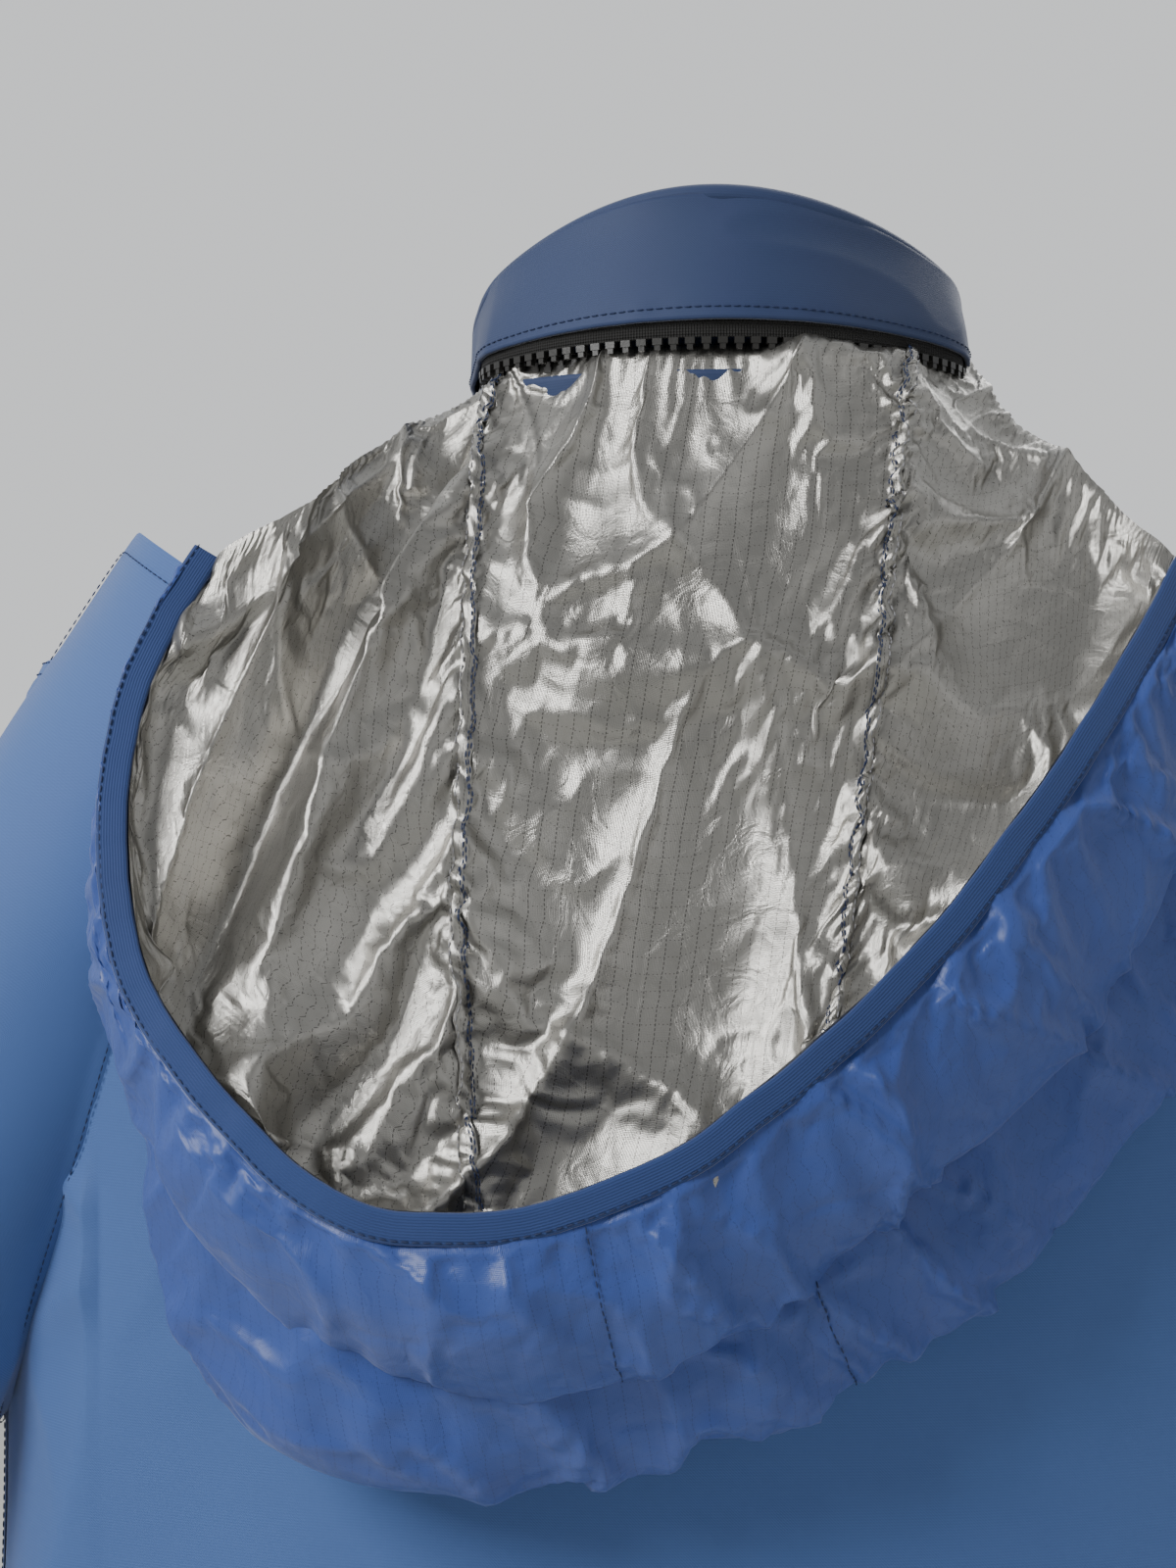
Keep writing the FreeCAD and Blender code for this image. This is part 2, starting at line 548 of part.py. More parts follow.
def hood_pieces():
    """Outer shell and lining in three panels each, and the binding of the face opening."""
    wall, lip = "<fabric> * 0.8", size("hood_lip")
    layers = {
        "hood_shell": (ellipse_loft("HoodShellOut", HOOD),
                       ellipse_loft("HoodShellIn", raised(HOOD, 1), wall)),
        "hood_lining": (ellipse_loft("HoodLinOut", raised(HOOD, 1), wall),
                        ellipse_loft("HoodLinIn", raised(HOOD, 2), f"2 * {wall}")),
    }
    zones = {"left": ("<hood_seam>", FAR), "centre": ("-<hood_seam>", "<hood_seam>"),
             "right": (f"-{FAR}", "-<hood_seam>")}
    for layer, (outer, inner) in layers.items():
        shell = cut(f"{layer}_open", cut(f"{layer}_wall", outer, inner), hood_cut(f"{layer}_face", lip))
        for zone, (x0, x1) in zones.items():
            block = box(f"{layer}_{zone}_b", x0, x1, "0", FAR, f"-{FAR}", FAR)
            panel = common(f"{layer}_{zone}_p", shell, block)
            keep(panel, f"{layer}_{zone}")
    thick = cut("HoodThick", ellipse_loft("HoodBindOut", HOOD),
                ellipse_loft("HoodBindIn", raised(HOOD, 2), f"2 * {wall}"))
    edge = common("HoodEdge", cut("HoodEdgeCut", thick, hood_cut("HoodFace", 0)),
                  hood_cut("HoodEdgeBand", lip))
    keep(edge, "hood_binding")


def raised(stations, layer):
    """Hood stations for an inner layer: the floor is lifted by a layer's thickness."""
    floor = stations[-1]
    lift = f"{floor[0]} + {layer} * <fabric> * 0.8"
    return stations[:-1] + [(lift,) + floor[1:]]


def hood_neck():
    """The strip that joins the hood to the floor of the collar pocket."""
    keep(sector("HoodNeck", "<neck_radius> - <fabric> - <collar_pocket> + 0.2", "<neck_radius> + 4",
                "<slot_low> + 3.3", "<slot_low> + 4.7", "62"), "hood_neck_strip")


def hang_loop():
    """A strap loop whose two feet are sewn to the inner wall at the back of the collar."""
    long, wide, foot, thick = size("loop_length"), size("loop_width"), 6, 1.2
    wall = size("neck_radius") - 2 * size("fabric") - size("collar_pocket")
    foot_y = math.sqrt(wall ** 2 - (long / 2) ** 2) - 0.2
    strap_y = foot_y - 7
    low = 6
    parts = [Part.makeBox(long, thick, wide, FreeCAD.Vector(-long / 2, strap_y, low))]
    for x in (-long / 2, long / 2 - foot):
        parts.append(Part.makeBox(foot, foot_y - strap_y, wide, FreeCAD.Vector(x, strap_y, low)))
    piece = make("Part::Feature", "hang_loop")
    piece.Shape = parts[0].fuse(parts[1:]).removeSplitter()
    keep(piece, "hang_loop")


torso_pieces()
collar_pieces()
front_zip()
for sign, hand_name in ((1, "left"), (-1, "right")):
    pocket_pieces(sign, hand_name)
    pocket_zip(sign, hand_name)
    sleeve_pieces(sign, hand_name)
collar_zip_slider()
hood_pieces()
hood_neck()
hang_loop()
doc.recompute()

os.makedirs("parts", exist_ok=True)
for thing in doc.Objects:
    if {"Invalid", "Error"} & set(thing.State):
        raise RuntimeError(f"{thing.Label} failed: {thing.State}")
for thing in pieces:
    shape = thing.Shape
    if shape.isNull() or not shape.isValid() or not shape.Solids:
        raise RuntimeError(f"{thing.Label} has no valid solid")
    print(f"{thing.Label:26s} solids {len(shape.Solids):3d} volume {shape.Volume:12.1f}")
for thing in pieces:
    thing.Shape.exportStep(f"parts/{thing.Label}.step")
print(len(pieces), "pieces")
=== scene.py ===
"""Shell jacket with a stow-away hood: its cloth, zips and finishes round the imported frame.

Metres, +Z up.  The wearer faces -Y, and the wearer's left is +X.
"""
from __future__ import annotations

import itertools
import json
import logging
import math
from dataclasses import dataclass
from enum import Enum
from typing import Sequence

import bpy
import numpy as np
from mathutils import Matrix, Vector

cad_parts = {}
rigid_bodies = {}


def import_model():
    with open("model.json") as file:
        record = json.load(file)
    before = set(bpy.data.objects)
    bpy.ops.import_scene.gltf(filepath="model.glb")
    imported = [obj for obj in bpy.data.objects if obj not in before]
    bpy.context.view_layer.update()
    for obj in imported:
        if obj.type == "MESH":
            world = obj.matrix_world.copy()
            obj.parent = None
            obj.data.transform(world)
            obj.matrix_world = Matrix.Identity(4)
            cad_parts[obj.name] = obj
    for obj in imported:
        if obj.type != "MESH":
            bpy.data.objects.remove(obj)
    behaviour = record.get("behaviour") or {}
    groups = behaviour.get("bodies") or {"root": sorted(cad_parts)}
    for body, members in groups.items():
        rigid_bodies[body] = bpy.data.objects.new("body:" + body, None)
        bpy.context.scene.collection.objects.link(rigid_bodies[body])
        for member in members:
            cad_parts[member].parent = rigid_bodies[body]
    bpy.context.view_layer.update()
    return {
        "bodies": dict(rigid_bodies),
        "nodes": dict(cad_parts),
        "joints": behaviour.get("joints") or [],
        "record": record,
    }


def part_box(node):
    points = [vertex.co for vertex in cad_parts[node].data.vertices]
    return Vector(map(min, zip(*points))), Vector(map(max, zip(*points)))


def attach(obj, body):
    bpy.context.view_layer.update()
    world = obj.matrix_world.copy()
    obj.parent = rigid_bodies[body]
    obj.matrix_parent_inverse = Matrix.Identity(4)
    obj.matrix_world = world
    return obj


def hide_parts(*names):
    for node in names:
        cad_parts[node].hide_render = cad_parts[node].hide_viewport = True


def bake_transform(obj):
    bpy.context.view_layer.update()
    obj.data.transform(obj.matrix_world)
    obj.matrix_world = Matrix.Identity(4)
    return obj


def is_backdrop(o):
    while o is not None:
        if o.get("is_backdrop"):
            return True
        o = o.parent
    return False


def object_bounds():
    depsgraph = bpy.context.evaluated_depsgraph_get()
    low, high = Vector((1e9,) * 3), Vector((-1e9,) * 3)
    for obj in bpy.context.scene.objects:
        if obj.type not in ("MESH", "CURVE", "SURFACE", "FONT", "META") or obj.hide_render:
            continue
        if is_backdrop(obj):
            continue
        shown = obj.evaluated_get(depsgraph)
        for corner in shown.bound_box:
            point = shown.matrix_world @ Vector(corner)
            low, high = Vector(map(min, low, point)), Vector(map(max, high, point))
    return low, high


LOG = logging.getLogger("jacket")
MM = 0.001
AXIS_PRIMES, SEED_PRIME, STIR_PRIME = (73856093, 19349663, 83492791), 49979687, 1274126177
HALF_RANGE = 32767.5  # half of sixteen bits, to bring a hash to -1..1
ROUGHNESS_SPREAD = 0.06
LEAST_SPAN, LEAST_SHARE = 0.0105, 0.31
Array = np.ndarray


# ---- colour and nodes

def linear(colour: str) -> tuple[float, float, float, float]:
    """Turn an sRGB hex colour into linear RGBA.

    Args:
        colour: Six hex digits after a hash.

    Returns:
        Linear red, green, blue and an alpha of one.
    """
    parts = [int(colour[i:i + 2], 16) / 255 for i in (1, 3, 5)]
    rgb = [c / 12.92 if c <= 0.04045 else ((c + 0.055) / 1.055) ** 2.4 for c in parts]
    return (*rgb, 1.0)


def add(tree: bpy.types.NodeTree, kind: str, links: dict | None = None, **settings) -> bpy.types.Node:
    """Add a node, set its properties and fill or link its inputs.

    Args:
        tree: The tree that takes the node.
        kind: The node's Blender type name.
        links: Input name or index to a value or an output socket.
        settings: Properties of the node.

    Returns:
        The new node.
    """
    node = tree.nodes.new(kind)
    for name, value in settings.items():
        setattr(node, name, value)
    for key, value in (links or {}).items():
        socket = node.inputs[key]
        if isinstance(value, bpy.types.NodeSocket):
            tree.links.new(value, socket)
        else:
            socket.default_value = value
    return node


def calc(tree: bpy.types.NodeTree, operation: str, *values) -> bpy.types.NodeSocket:
    """Add a maths node and return what it works out."""
    return add(tree, "ShaderNodeMath", dict(enumerate(values)), operation=operation).outputs[0]


class Pattern(Enum):
    """How a surface was made, which decides its fine relief."""

    TWILL = "twill"
    RIPSTOP = "ripstop"
    RIB = "rib"
    TAPE = "tape"
    MOULDED = "moulded"
    ENAMEL = "enamel"
    THREAD = "thread"
    LOOP_PILE = "loop pile"


GRAIN = {Pattern.MOULDED: 900.0, Pattern.ENAMEL: 500.0, Pattern.THREAD: 2500.0}


@dataclass(frozen=True)
class Finish:
    """One real material: what it is, how it was made and what that gives the eye."""

    name: str
    colour: str
    dark: str
    pattern: Pattern
    roughness: float
    metallic: float = 0.0
    sheen: float = 0.0
    thread_mm: float = 0.6
    relief: float = 0.3
    crumple: float = 0.0
    line: str = "#000000"
    grid_mm: float = 5.0

    def build(self) -> bpy.types.Material:
        """Return the material, made once."""
        known = bpy.data.materials.get(self.name)
        if known:
            return known
        material = bpy.data.materials.new(self.name)
        material.use_nodes = True
        tree = material.node_tree
        tree.nodes.clear()
        shader = add(tree, "ShaderNodeBsdfPrincipled", {"Metallic": self.metallic})
        shader.inputs["Sheen Weight"].default_value = self.sheen
        shader.inputs["Sheen Roughness"].default_value = 0.45
        add(tree, "ShaderNodeOutputMaterial", {"Surface": shader.outputs[0]})
        place = add(tree, "ShaderNodeTexCoord")
        flat, solid = place.outputs["UV"], place.outputs["Object"]
        blotch = add(tree, "ShaderNodeTexNoise", {"Vector": solid, "Scale": 9.0, "Detail": 5.0})
        tone = add(tree, "ShaderNodeMix", {0: blotch.outputs["Fac"], 6: linear(self.dark),
                                           7: linear(self.colour)}, data_type="RGBA")
        colour, height = self.weave(tree, flat, solid, tone.outputs[2])
        tree.links.new(colour, shader.inputs["Base Color"])
        spread = add(tree, "ShaderNodeMapRange", {"Value": blotch.outputs["Fac"],
                                                  "To Min": self.roughness - ROUGHNESS_SPREAD,
                                                  "To Max": self.roughness + ROUGHNESS_SPREAD})
        tree.links.new(spread.outputs[0], shader.inputs["Roughness"])
        bump = add(tree, "ShaderNodeBump", {"Height": height, "Strength": self.relief,
                                            "Distance": self.thread_mm * MM})
        if self.crumple:
            bump = self.crease(tree, solid, bump)
        tree.links.new(bump.outputs[0], shader.inputs["Normal"])
        return material

    def crease(self, tree: bpy.types.NodeTree, solid, fine: bpy.types.Node) -> bpy.types.Node:
        """Add the sharp small creases that thin coated cloth keeps."""
        warp = add(tree, "ShaderNodeTexNoise", {"Vector": solid, "Scale": 22.0, "Detail": 3.0})
        bent = add(tree, "ShaderNodeMix", {0: 0.06, 4: solid, 5: warp.outputs["Color"]},
                   data_type="VECTOR").outputs[1]
        cells = add(tree, "ShaderNodeTexVoronoi", {"Vector": bent, "Scale": 52.0}, feature="F1")
        folds = add(tree, "ShaderNodeTexNoise", {"Vector": bent, "Scale": 60.0, "Detail": 4.0,
                                                 "Distortion": 1.2})
        both = calc(tree, "ADD", cells.outputs["Distance"], folds.outputs["Fac"])
        return add(tree, "ShaderNodeBump", {"Height": both, "Strength": self.crumple, "Distance": 2.2 * MM,
                                            "Normal": fine.outputs[0]})

    def weave(self, tree: bpy.types.NodeTree, flat, solid, tone) -> tuple:
        """Lay the fine structure of the surface; the twill, rib and tape patterns also get painted shade in
        the weave's hollows and painted light on its crests.

        Args:
            tree: The material's tree.
            flat: The cloth coordinates, in metres along and across.
            solid: The object coordinates.
            tone: The colour before the pattern.

        Returns:
            The colour socket and the height socket.
        """
        pitch = self.thread_mm * MM
        if self.pattern in GRAIN:
            grain = add(tree, "ShaderNodeTexNoise", {"Vector": solid, "Scale": GRAIN[self.pattern],
                                                     "Detail": 4.0})
            return tone, grain.outputs["Fac"]
        if self.pattern is Pattern.LOOP_PILE:
            pile = add(tree, "ShaderNodeTexVoronoi", {"Vector": solid, "Scale": 1 / pitch})
            return tone, pile.outputs["Distance"]
        parts = add(tree, "ShaderNodeSeparateXYZ", {0: flat}).outputs
        stretch, weight = (0.55, 0.15) if self.pattern is Pattern.RIB else (1.0, 0.8)
        waves = [calc(tree, "MULTIPLY", parts[0], 2 * math.pi / pitch),
                 calc(tree, "MULTIPLY", parts[1], 2 * math.pi / pitch * stretch)]
        if self.pattern is Pattern.TWILL:
            waves[0] = calc(tree, "ADD", *waves)
        sines = [calc(tree, "SINE", wave) for wave in waves]
        height = calc(tree, "ADD", sines[0], calc(tree, "MULTIPLY", sines[1], weight))
        if self.pattern is Pattern.RIPSTOP:
            return self.ripstop(tree, parts, tone, height)
        # Painted shade and light: the cloth's colour is darkened where the weave dips and lightened where it
        # rises.
        painted_weave_shade = add(tree, "ShaderNodeMapRange", {"Value": height, "From Min": -2.0, "From Max": 2.0,
                                                 "To Min": 0.86, "To Max": 1.1})
        painted_weave_colour = add(tree, "ShaderNodeVectorMath", {0: tone, "Scale": painted_weave_shade.outputs[0]}, operation="SCALE")
        return painted_weave_colour.outputs[0], height

    def ripstop(self, tree: bpy.types.NodeTree, parts, tone, height) -> tuple:
        """Draw the broken lines of the reinforcing threads over the weave."""
        lines = []
        for axis, thick, dash, filled in ((0, 0.07, 1, 0.62), (1, 0.05, 0, 0.3)):
            place = calc(tree, "FRACT", calc(tree, "MULTIPLY", parts[axis], 1 / (self.grid_mm * MM)))
            dots = calc(tree, "FRACT", calc(tree, "MULTIPLY", parts[dash], 1 / (1.4 * MM)))
            lines.append(calc(tree, "MULTIPLY", calc(tree, "LESS_THAN", place, thick),
                              calc(tree, "LESS_THAN", dots, filled)))
        either = calc(tree, "MAXIMUM", *lines)
        drawn = add(tree, "ShaderNodeMix", {0: calc(tree, "MULTIPLY", either, 0.75), 6: tone,
                                            7: linear(self.line)}, data_type="RGBA")
        return drawn.outputs[2], calc(tree, "ADD", either, height)


# Woven polyester twill with a dry water-repellent hand: matte, with a faint diagonal.
SHELL = Finish("woven polyester shell cloth", "#4a6ca8", "#40609b", Pattern.TWILL, 0.72, sheen=0.25,
               thread_mm=0.9, relief=0.12)
# The collar is cut from the same mill's darker cloth, pressed and smoother.
COLLAR = Finish("woven polyester collar cloth", "#2a3d66", "#223358", Pattern.TWILL, 0.66, sheen=0.2,
                thread_mm=0.8, relief=0.1)
# Calendered thin nylon: it shines softly on every fold.
HOOD_NYLON = Finish("calendered nylon hood cloth", "#3c58a2", "#314a8c", Pattern.RIPSTOP, 0.4, sheen=0.15,
                    thread_mm=0.5, relief=0.1, crumple=0.30, line="#2a4079", grid_mm=5.0)
# Aluminium-coated ripstop: a metal sheen broken by dark reinforcing threads.
LINING = Finish("aluminium-coated ripstop lining", "#bdbbb6", "#93918c", Pattern.RIPSTOP, 0.31, metallic=0.88,
                thread_mm=0.5, relief=0.15, crumple=0.30, line="#4c4b49", grid_mm=5.0)
# Brushed knitted elastic: soft ribs along its length.
ELASTIC = Finish("brushed knitted elastic", "#28447f", "#1e3567", Pattern.RIB, 0.8, sheen=0.35,
                 thread_mm=0.8, relief=0.25)
# Black woven polyester tape with a herringbone too fine to see, drawn as ribs.
TAPE = Finish("woven zip tape", "#2b2a29", "#1c1c1c", Pattern.TAPE, 0.85, thread_mm=0.9, relief=0.6)
# Injection-moulded acetal teeth: satin, with a soft mould texture.
TEETH = Finish("moulded acetal teeth", "#2f2e2c", "#242322", Pattern.MOULDED, 0.36, relief=0.08)
# Baked black enamel on a zinc die casting.
METAL = Finish("enamelled zinc slider", "#26272a", "#1a1b1d", Pattern.ENAMEL, 0.3, metallic=0.4, relief=0.06)
# Soft moulded rubber of the pulls.
RUBBER = Finish("moulded rubber pull", "#222327", "#191a1d", Pattern.MOULDED, 0.62, relief=0.15)
# Corespun sewing thread, darker than the cloth it holds.
THREAD = Finish("corespun navy thread", "#22335c", "#1a284a", Pattern.THREAD, 0.7, relief=0.3)
# Light grey thread of the lining's felled seams.
PALE_THREAD = Finish("corespun grey thread", "#9a9a9c", "#84858a", Pattern.THREAD, 0.6, relief=0.3)
# Woven hook-and-loop strip.
HOOK_LOOP = Finish("hook and loop strip", "#2c416f", "#22345b", Pattern.LOOP_PILE, 0.9, sheen=0.4,
                   thread_mm=1.0, relief=0.8)
# Plain taffeta of the pocket bags and neck tape.
TAFFETA = Finish("plain taffeta", "#435f95", "#344e80", Pattern.RIPSTOP, 0.6, thread_mm=0.6, relief=0.2,
                 line="#2f4573")


# ---- shapes

def value_noise(points: Array, cell: float | Sequence[float], seed: int) -> Array:
    """Smooth value noise from -1 to 1.

    Args:
        points: Places, in metres, with three values in the last axis.
        cell: The size of a lattice cell in metres, or one for each axis.
        seed: Picks the pattern.

    Returns:
        One value for each point.
    """
    scaled = np.asarray(points) / np.asarray(cell)
    base = np.floor(scaled).astype(np.int64)
    part = scaled - base
    fade = part * part * (3 - 2 * part)
    total = np.zeros(scaled.shape[:-1])
    for corner in itertools.product((0, 1), repeat=3):
        key = base + np.array(corner)
        painted_weave_colour = np.bitwise_xor.reduce(key * np.array(AXIS_PRIMES), axis=-1) ^ (seed * SEED_PRIME)
        painted_weave_colour = (painted_weave_colour ^ (painted_weave_colour >> 13)) * STIR_PRIME & 0x7FFFFFFF
        painted_weave_colour = (painted_weave_colour ^ (painted_weave_colour >> 16)) & 0xFFFF
        weight = np.prod(np.where(np.array(corner) == 1, fade, 1 - fade), axis=-1)
        total += weight * (painted_weave_colour / HALF_RANGE - 1)
    return total


def ridges(points: Array, cell: float | Sequence[float], seed: int) -> Array:
    """Sharp-crested folds from 0 to 1, warped so that no two run alike."""
    size = np.mean(np.asarray(cell))
    warp = np.stack([value_noise(points, size * 1.7, seed + k) for k in (11, 12, 13)], axis=-1)
    return (1 - np.abs(value_noise(points + warp * size * 0.45, cell, seed))) ** 2


def bump(value: Array, centre: float, width: float) -> Array:
    """A smooth hill of height one."""
    return np.exp(-((value - centre) / width) ** 2)


def mix(a, b, share):
    """Blend from a to b."""
    return a + (b - a) * share


def smooth(low: float, high: float, value: Array) -> Array:
    """Rise smoothly from 0 at low to 1 at high."""
    share = np.clip((value - low) / (high - low), 0, 1)
    return share * share * (3 - 2 * share)


def unit(vectors: Array) -> Array:
    """Vectors brought to length one."""
    return vectors / np.linalg.norm(vectors, axis=-1, keepdims=True)


def spans(grid: Array) -> tuple[float, ...]:
    """A grid's greatest width and length, measured along the cloth."""
    return tuple(float(np.linalg.norm(np.diff(grid, axis=axis), axis=-1).sum(axis=axis).max())
                 for axis in (1, 0))


def cell_areas(points: Array) -> Array:
    """The area of each cell of a grid."""
    return np.linalg.norm(np.cross(np.diff(points, axis=0)[:, :-1], np.diff(points, axis=1)[:-1]), axis=-1)


def grid_normals(points: Array) -> Array:
    """Unit normals of a grid of points."""
    across = np.gradient(points, axis=1)
    along = np.gradient(points, axis=0)
    normal = np.cross(across, along)
    return normal / np.maximum(np.linalg.norm(normal, axis=-1, keepdims=True), 1e-12)


def new_object(name: str, mesh: bpy.types.Mesh) -> bpy.types.Object:
    """Link a mesh to the scene under a name, with _look added where the frame has that node."""
    name = f"{name}_look" if name in bpy.data.objects else name
    mesh.name = name
    thing = bpy.data.objects.new(name, mesh)
    bpy.context.scene.collection.objects.link(thing)
    return thing


def sheet_from(name: str, points: Array, finish: Finish, closed: bool = False, flip: bool = False,
               keep: Array | None = None) -> bpy.types.Object:
    """Make a cloth sheet from a grid of points, with cloth coordinates in metres.

    Args:
        name: The piece's name.
        points: Rows by columns by three.
        finish: What it is made of.
        closed: Whether the last column meets the first.
        flip: Whether to turn the faces over.
        keep: Which cells stay, rows-1 by columns (-1 when open).

    Returns:
        The new object.
    """
    rows, cols = points.shape[:2]
    after = points[:, :1] if closed else points[:, -1:]
    step_across = np.linalg.norm(np.diff(points, axis=1, append=after), axis=-1)
    step_along = np.linalg.norm(np.diff(points, axis=0, append=points[-1:]), axis=-1)
    u = np.cumsum(step_across, axis=1) - step_across
    u = u - u[:, cols // 2:cols // 2 + 1]
    v = np.cumsum(step_along, axis=0) - step_along
    index = np.arange(rows * cols).reshape(rows, cols)
    right = np.roll(index, -1, axis=1) if closed else index[:, 1:]
    left = index if closed else index[:, :-1]
    quads = np.stack([left[:-1], right[:-1], right[1:], left[1:]], axis=-1)
    wrap = np.zeros(quads.shape[:2], bool)
    if closed:
        wrap[:, -1] = True
    if keep is not None:
        quads, wrap = quads[keep], wrap[keep]
    quads, wrap = quads.reshape(-1, 4), wrap.reshape(-1)
    if flip:
        quads = quads[:, ::-1]
    used, compact = np.unique(quads, return_inverse=True)
    mesh = bpy.data.meshes.new(name)
    mesh.from_pydata(points.reshape(-1, 3)[used].tolist(), [], compact.reshape(quads.shape).tolist())
    layer = mesh.uv_layers.new(name="cloth")
    corner_u, corner_v = u.reshape(-1)[quads], v.reshape(-1)[quads]
    if closed:
        far = (u[:, -1] + step_across[:, -1])[quads // cols]
        first = (quads % cols == 0) & wrap[:, None]
        corner_u = np.where(first, far, corner_u)
    layer.data.foreach_set("uv", np.stack([corner_u, corner_v], axis=-1).reshape(-1))
    mesh.materials.append(finish.build())
    mesh.shade_smooth()
    return new_object(name, mesh)


def mesh_points(thing: bpy.types.Object) -> Array:
    """The vertices of a mesh object."""
    points = np.zeros(len(thing.data.vertices) * 3)
    thing.data.vertices.foreach_get("co", points)
    return points.reshape(-1, 3)


def apply_modifiers(thing: bpy.types.Object) -> bpy.types.Object:
    """Turn what the modifiers make into the object's own mesh."""
    graph = bpy.context.evaluated_depsgraph_get()
    mesh = bpy.data.meshes.new_from_object(thing.evaluated_get(graph), depsgraph=graph)
    thing.modifiers.clear()
    old = thing.data
    thing.data = mesh
    mesh.name = thing.name
    if old.users == 0:
        bpy.data.meshes.remove(old)
    return thing


def thicken(thing: bpy.types.Object, thick: float) -> bpy.types.Object:
    """Give a sheet its wall, half to each side."""
    wall = thing.modifiers.new("wall", "SOLIDIFY")
    wall.thickness, wall.offset = thick, 0.0
    return apply_modifiers(thing)


def grow_cloth(thing: bpy.types.Object, pinned: Array, growth: float, frames: int, cap: float,
               stiffness: float = 8.0) -> None:
    """Let a sheet that is cut a little too large buckle into folds between its seams.

    Args:
        thing: The sheet.
        pinned: Weight of each vertex from 0, free, to 1, sewn down.
        growth: How much larger the cloth is than its place.
        frames: Steps of the simulation.
        cap: How far any point may move.
        stiffness: How hard the cloth resists stretch.
    """
    start = mesh_points(thing)
    group = thing.vertex_groups.new(name="sewn")
    levels = np.round(pinned, 2)
    for level in np.unique(levels[levels > 0]):
        group.add(np.nonzero(levels == level)[0].tolist(), float(level), "REPLACE")
    cloth = thing.modifiers.new("drape", "CLOTH")
    rules = cloth.settings
    rules.quality, rules.mass = 5, 0.08
    rules.tension_stiffness = rules.compression_stiffness = stiffness
    rules.shear_stiffness, rules.bending_stiffness = 3.0, 0.02
    rules.shrink_min = -growth
    rules.vertex_group_mass = "sewn"
    rules.effector_weights.gravity = 0.15
    cloth.collision_settings.use_collision = False
    scene = bpy.context.scene
    cloth.point_cache.frame_start, cloth.point_cache.frame_end = 1, frames
    for frame in range(1, frames + 1):
        scene.frame_set(frame)
    graph = bpy.context.evaluated_depsgraph_get()
    result = np.zeros(start.size)
    thing.evaluated_get(graph).data.vertices.foreach_get("co", result)
    thing.modifiers.clear()
    thing.vertex_groups.clear()
    move = result.reshape(-1, 3) - start
    size = np.linalg.norm(move, axis=1, keepdims=True)
    soft = np.where(size > 1e-9, cap * np.tanh(size / cap) / np.maximum(size, 1e-9), 1.0)
    thing.data.vertices.foreach_set("co", (start + move * soft).reshape(-1))
    scene.frame_set(1)
    LOG.info("%s settled, moved up to %.1f mm", thing.name, float(size.max() * 1000))


def sweep(name: str, path: Array, side: Array, profile: Array, finish: Finish, closed_profile: bool = True,
          loop: bool = False) -> bpy.types.Object:
    """Sweep a flat profile along a path.

    Args:
        name: The piece's name.
        path: Points along the way.
        side: At each point, the direction of the profile's first axis.
        profile: Profile points, along side and along side x tangent.
        finish: What it is made of.
        closed_profile: Whether the profile is a ring.
        loop: Whether the path meets itself.

    Returns:
        The new object.
    """
    tangent = np.gradient(path, axis=0)
    if loop:
        tangent = np.roll(path, -1, axis=0) - np.roll(path, 1, axis=0)
    tangent = unit(tangent)
    side = unit(side - tangent * np.sum(side * tangent, axis=1, keepdims=True))
    lift = np.cross(side, tangent)
    points = (path[:, None] + side[:, None] * profile[None, :, :1] + lift[:, None] * profile[None, :, 1:2])
    if loop:
        points = np.concatenate([points, points[:1]])
    return sheet_from(name, points, finish, closed=closed_profile)


def flat_loop(width: float, thick: float, corners: int = 3) -> Array:
    """A strap's section: a flat ring with round edges, from -width/2 to width/2."""
    turns = np.linspace(-math.pi / 2, math.pi / 2, corners + 2)
    half = width / 2 - thick / 2
    right = np.stack([half + np.cos(turns) * thick / 2, np.sin(turns) * thick / 2], axis=-1)
    steps = np.linspace(half, -half, 6)[1:-1]
    top = np.stack([steps, np.full(4, thick / 2)], axis=-1)
    return np.concatenate([right, top, -right, -top])


# ---- repeats, by geometry nodes

class Unit(Enum):
    """What a row repeats."""

    STITCH = "stitch"
    TOOTH = "tooth"


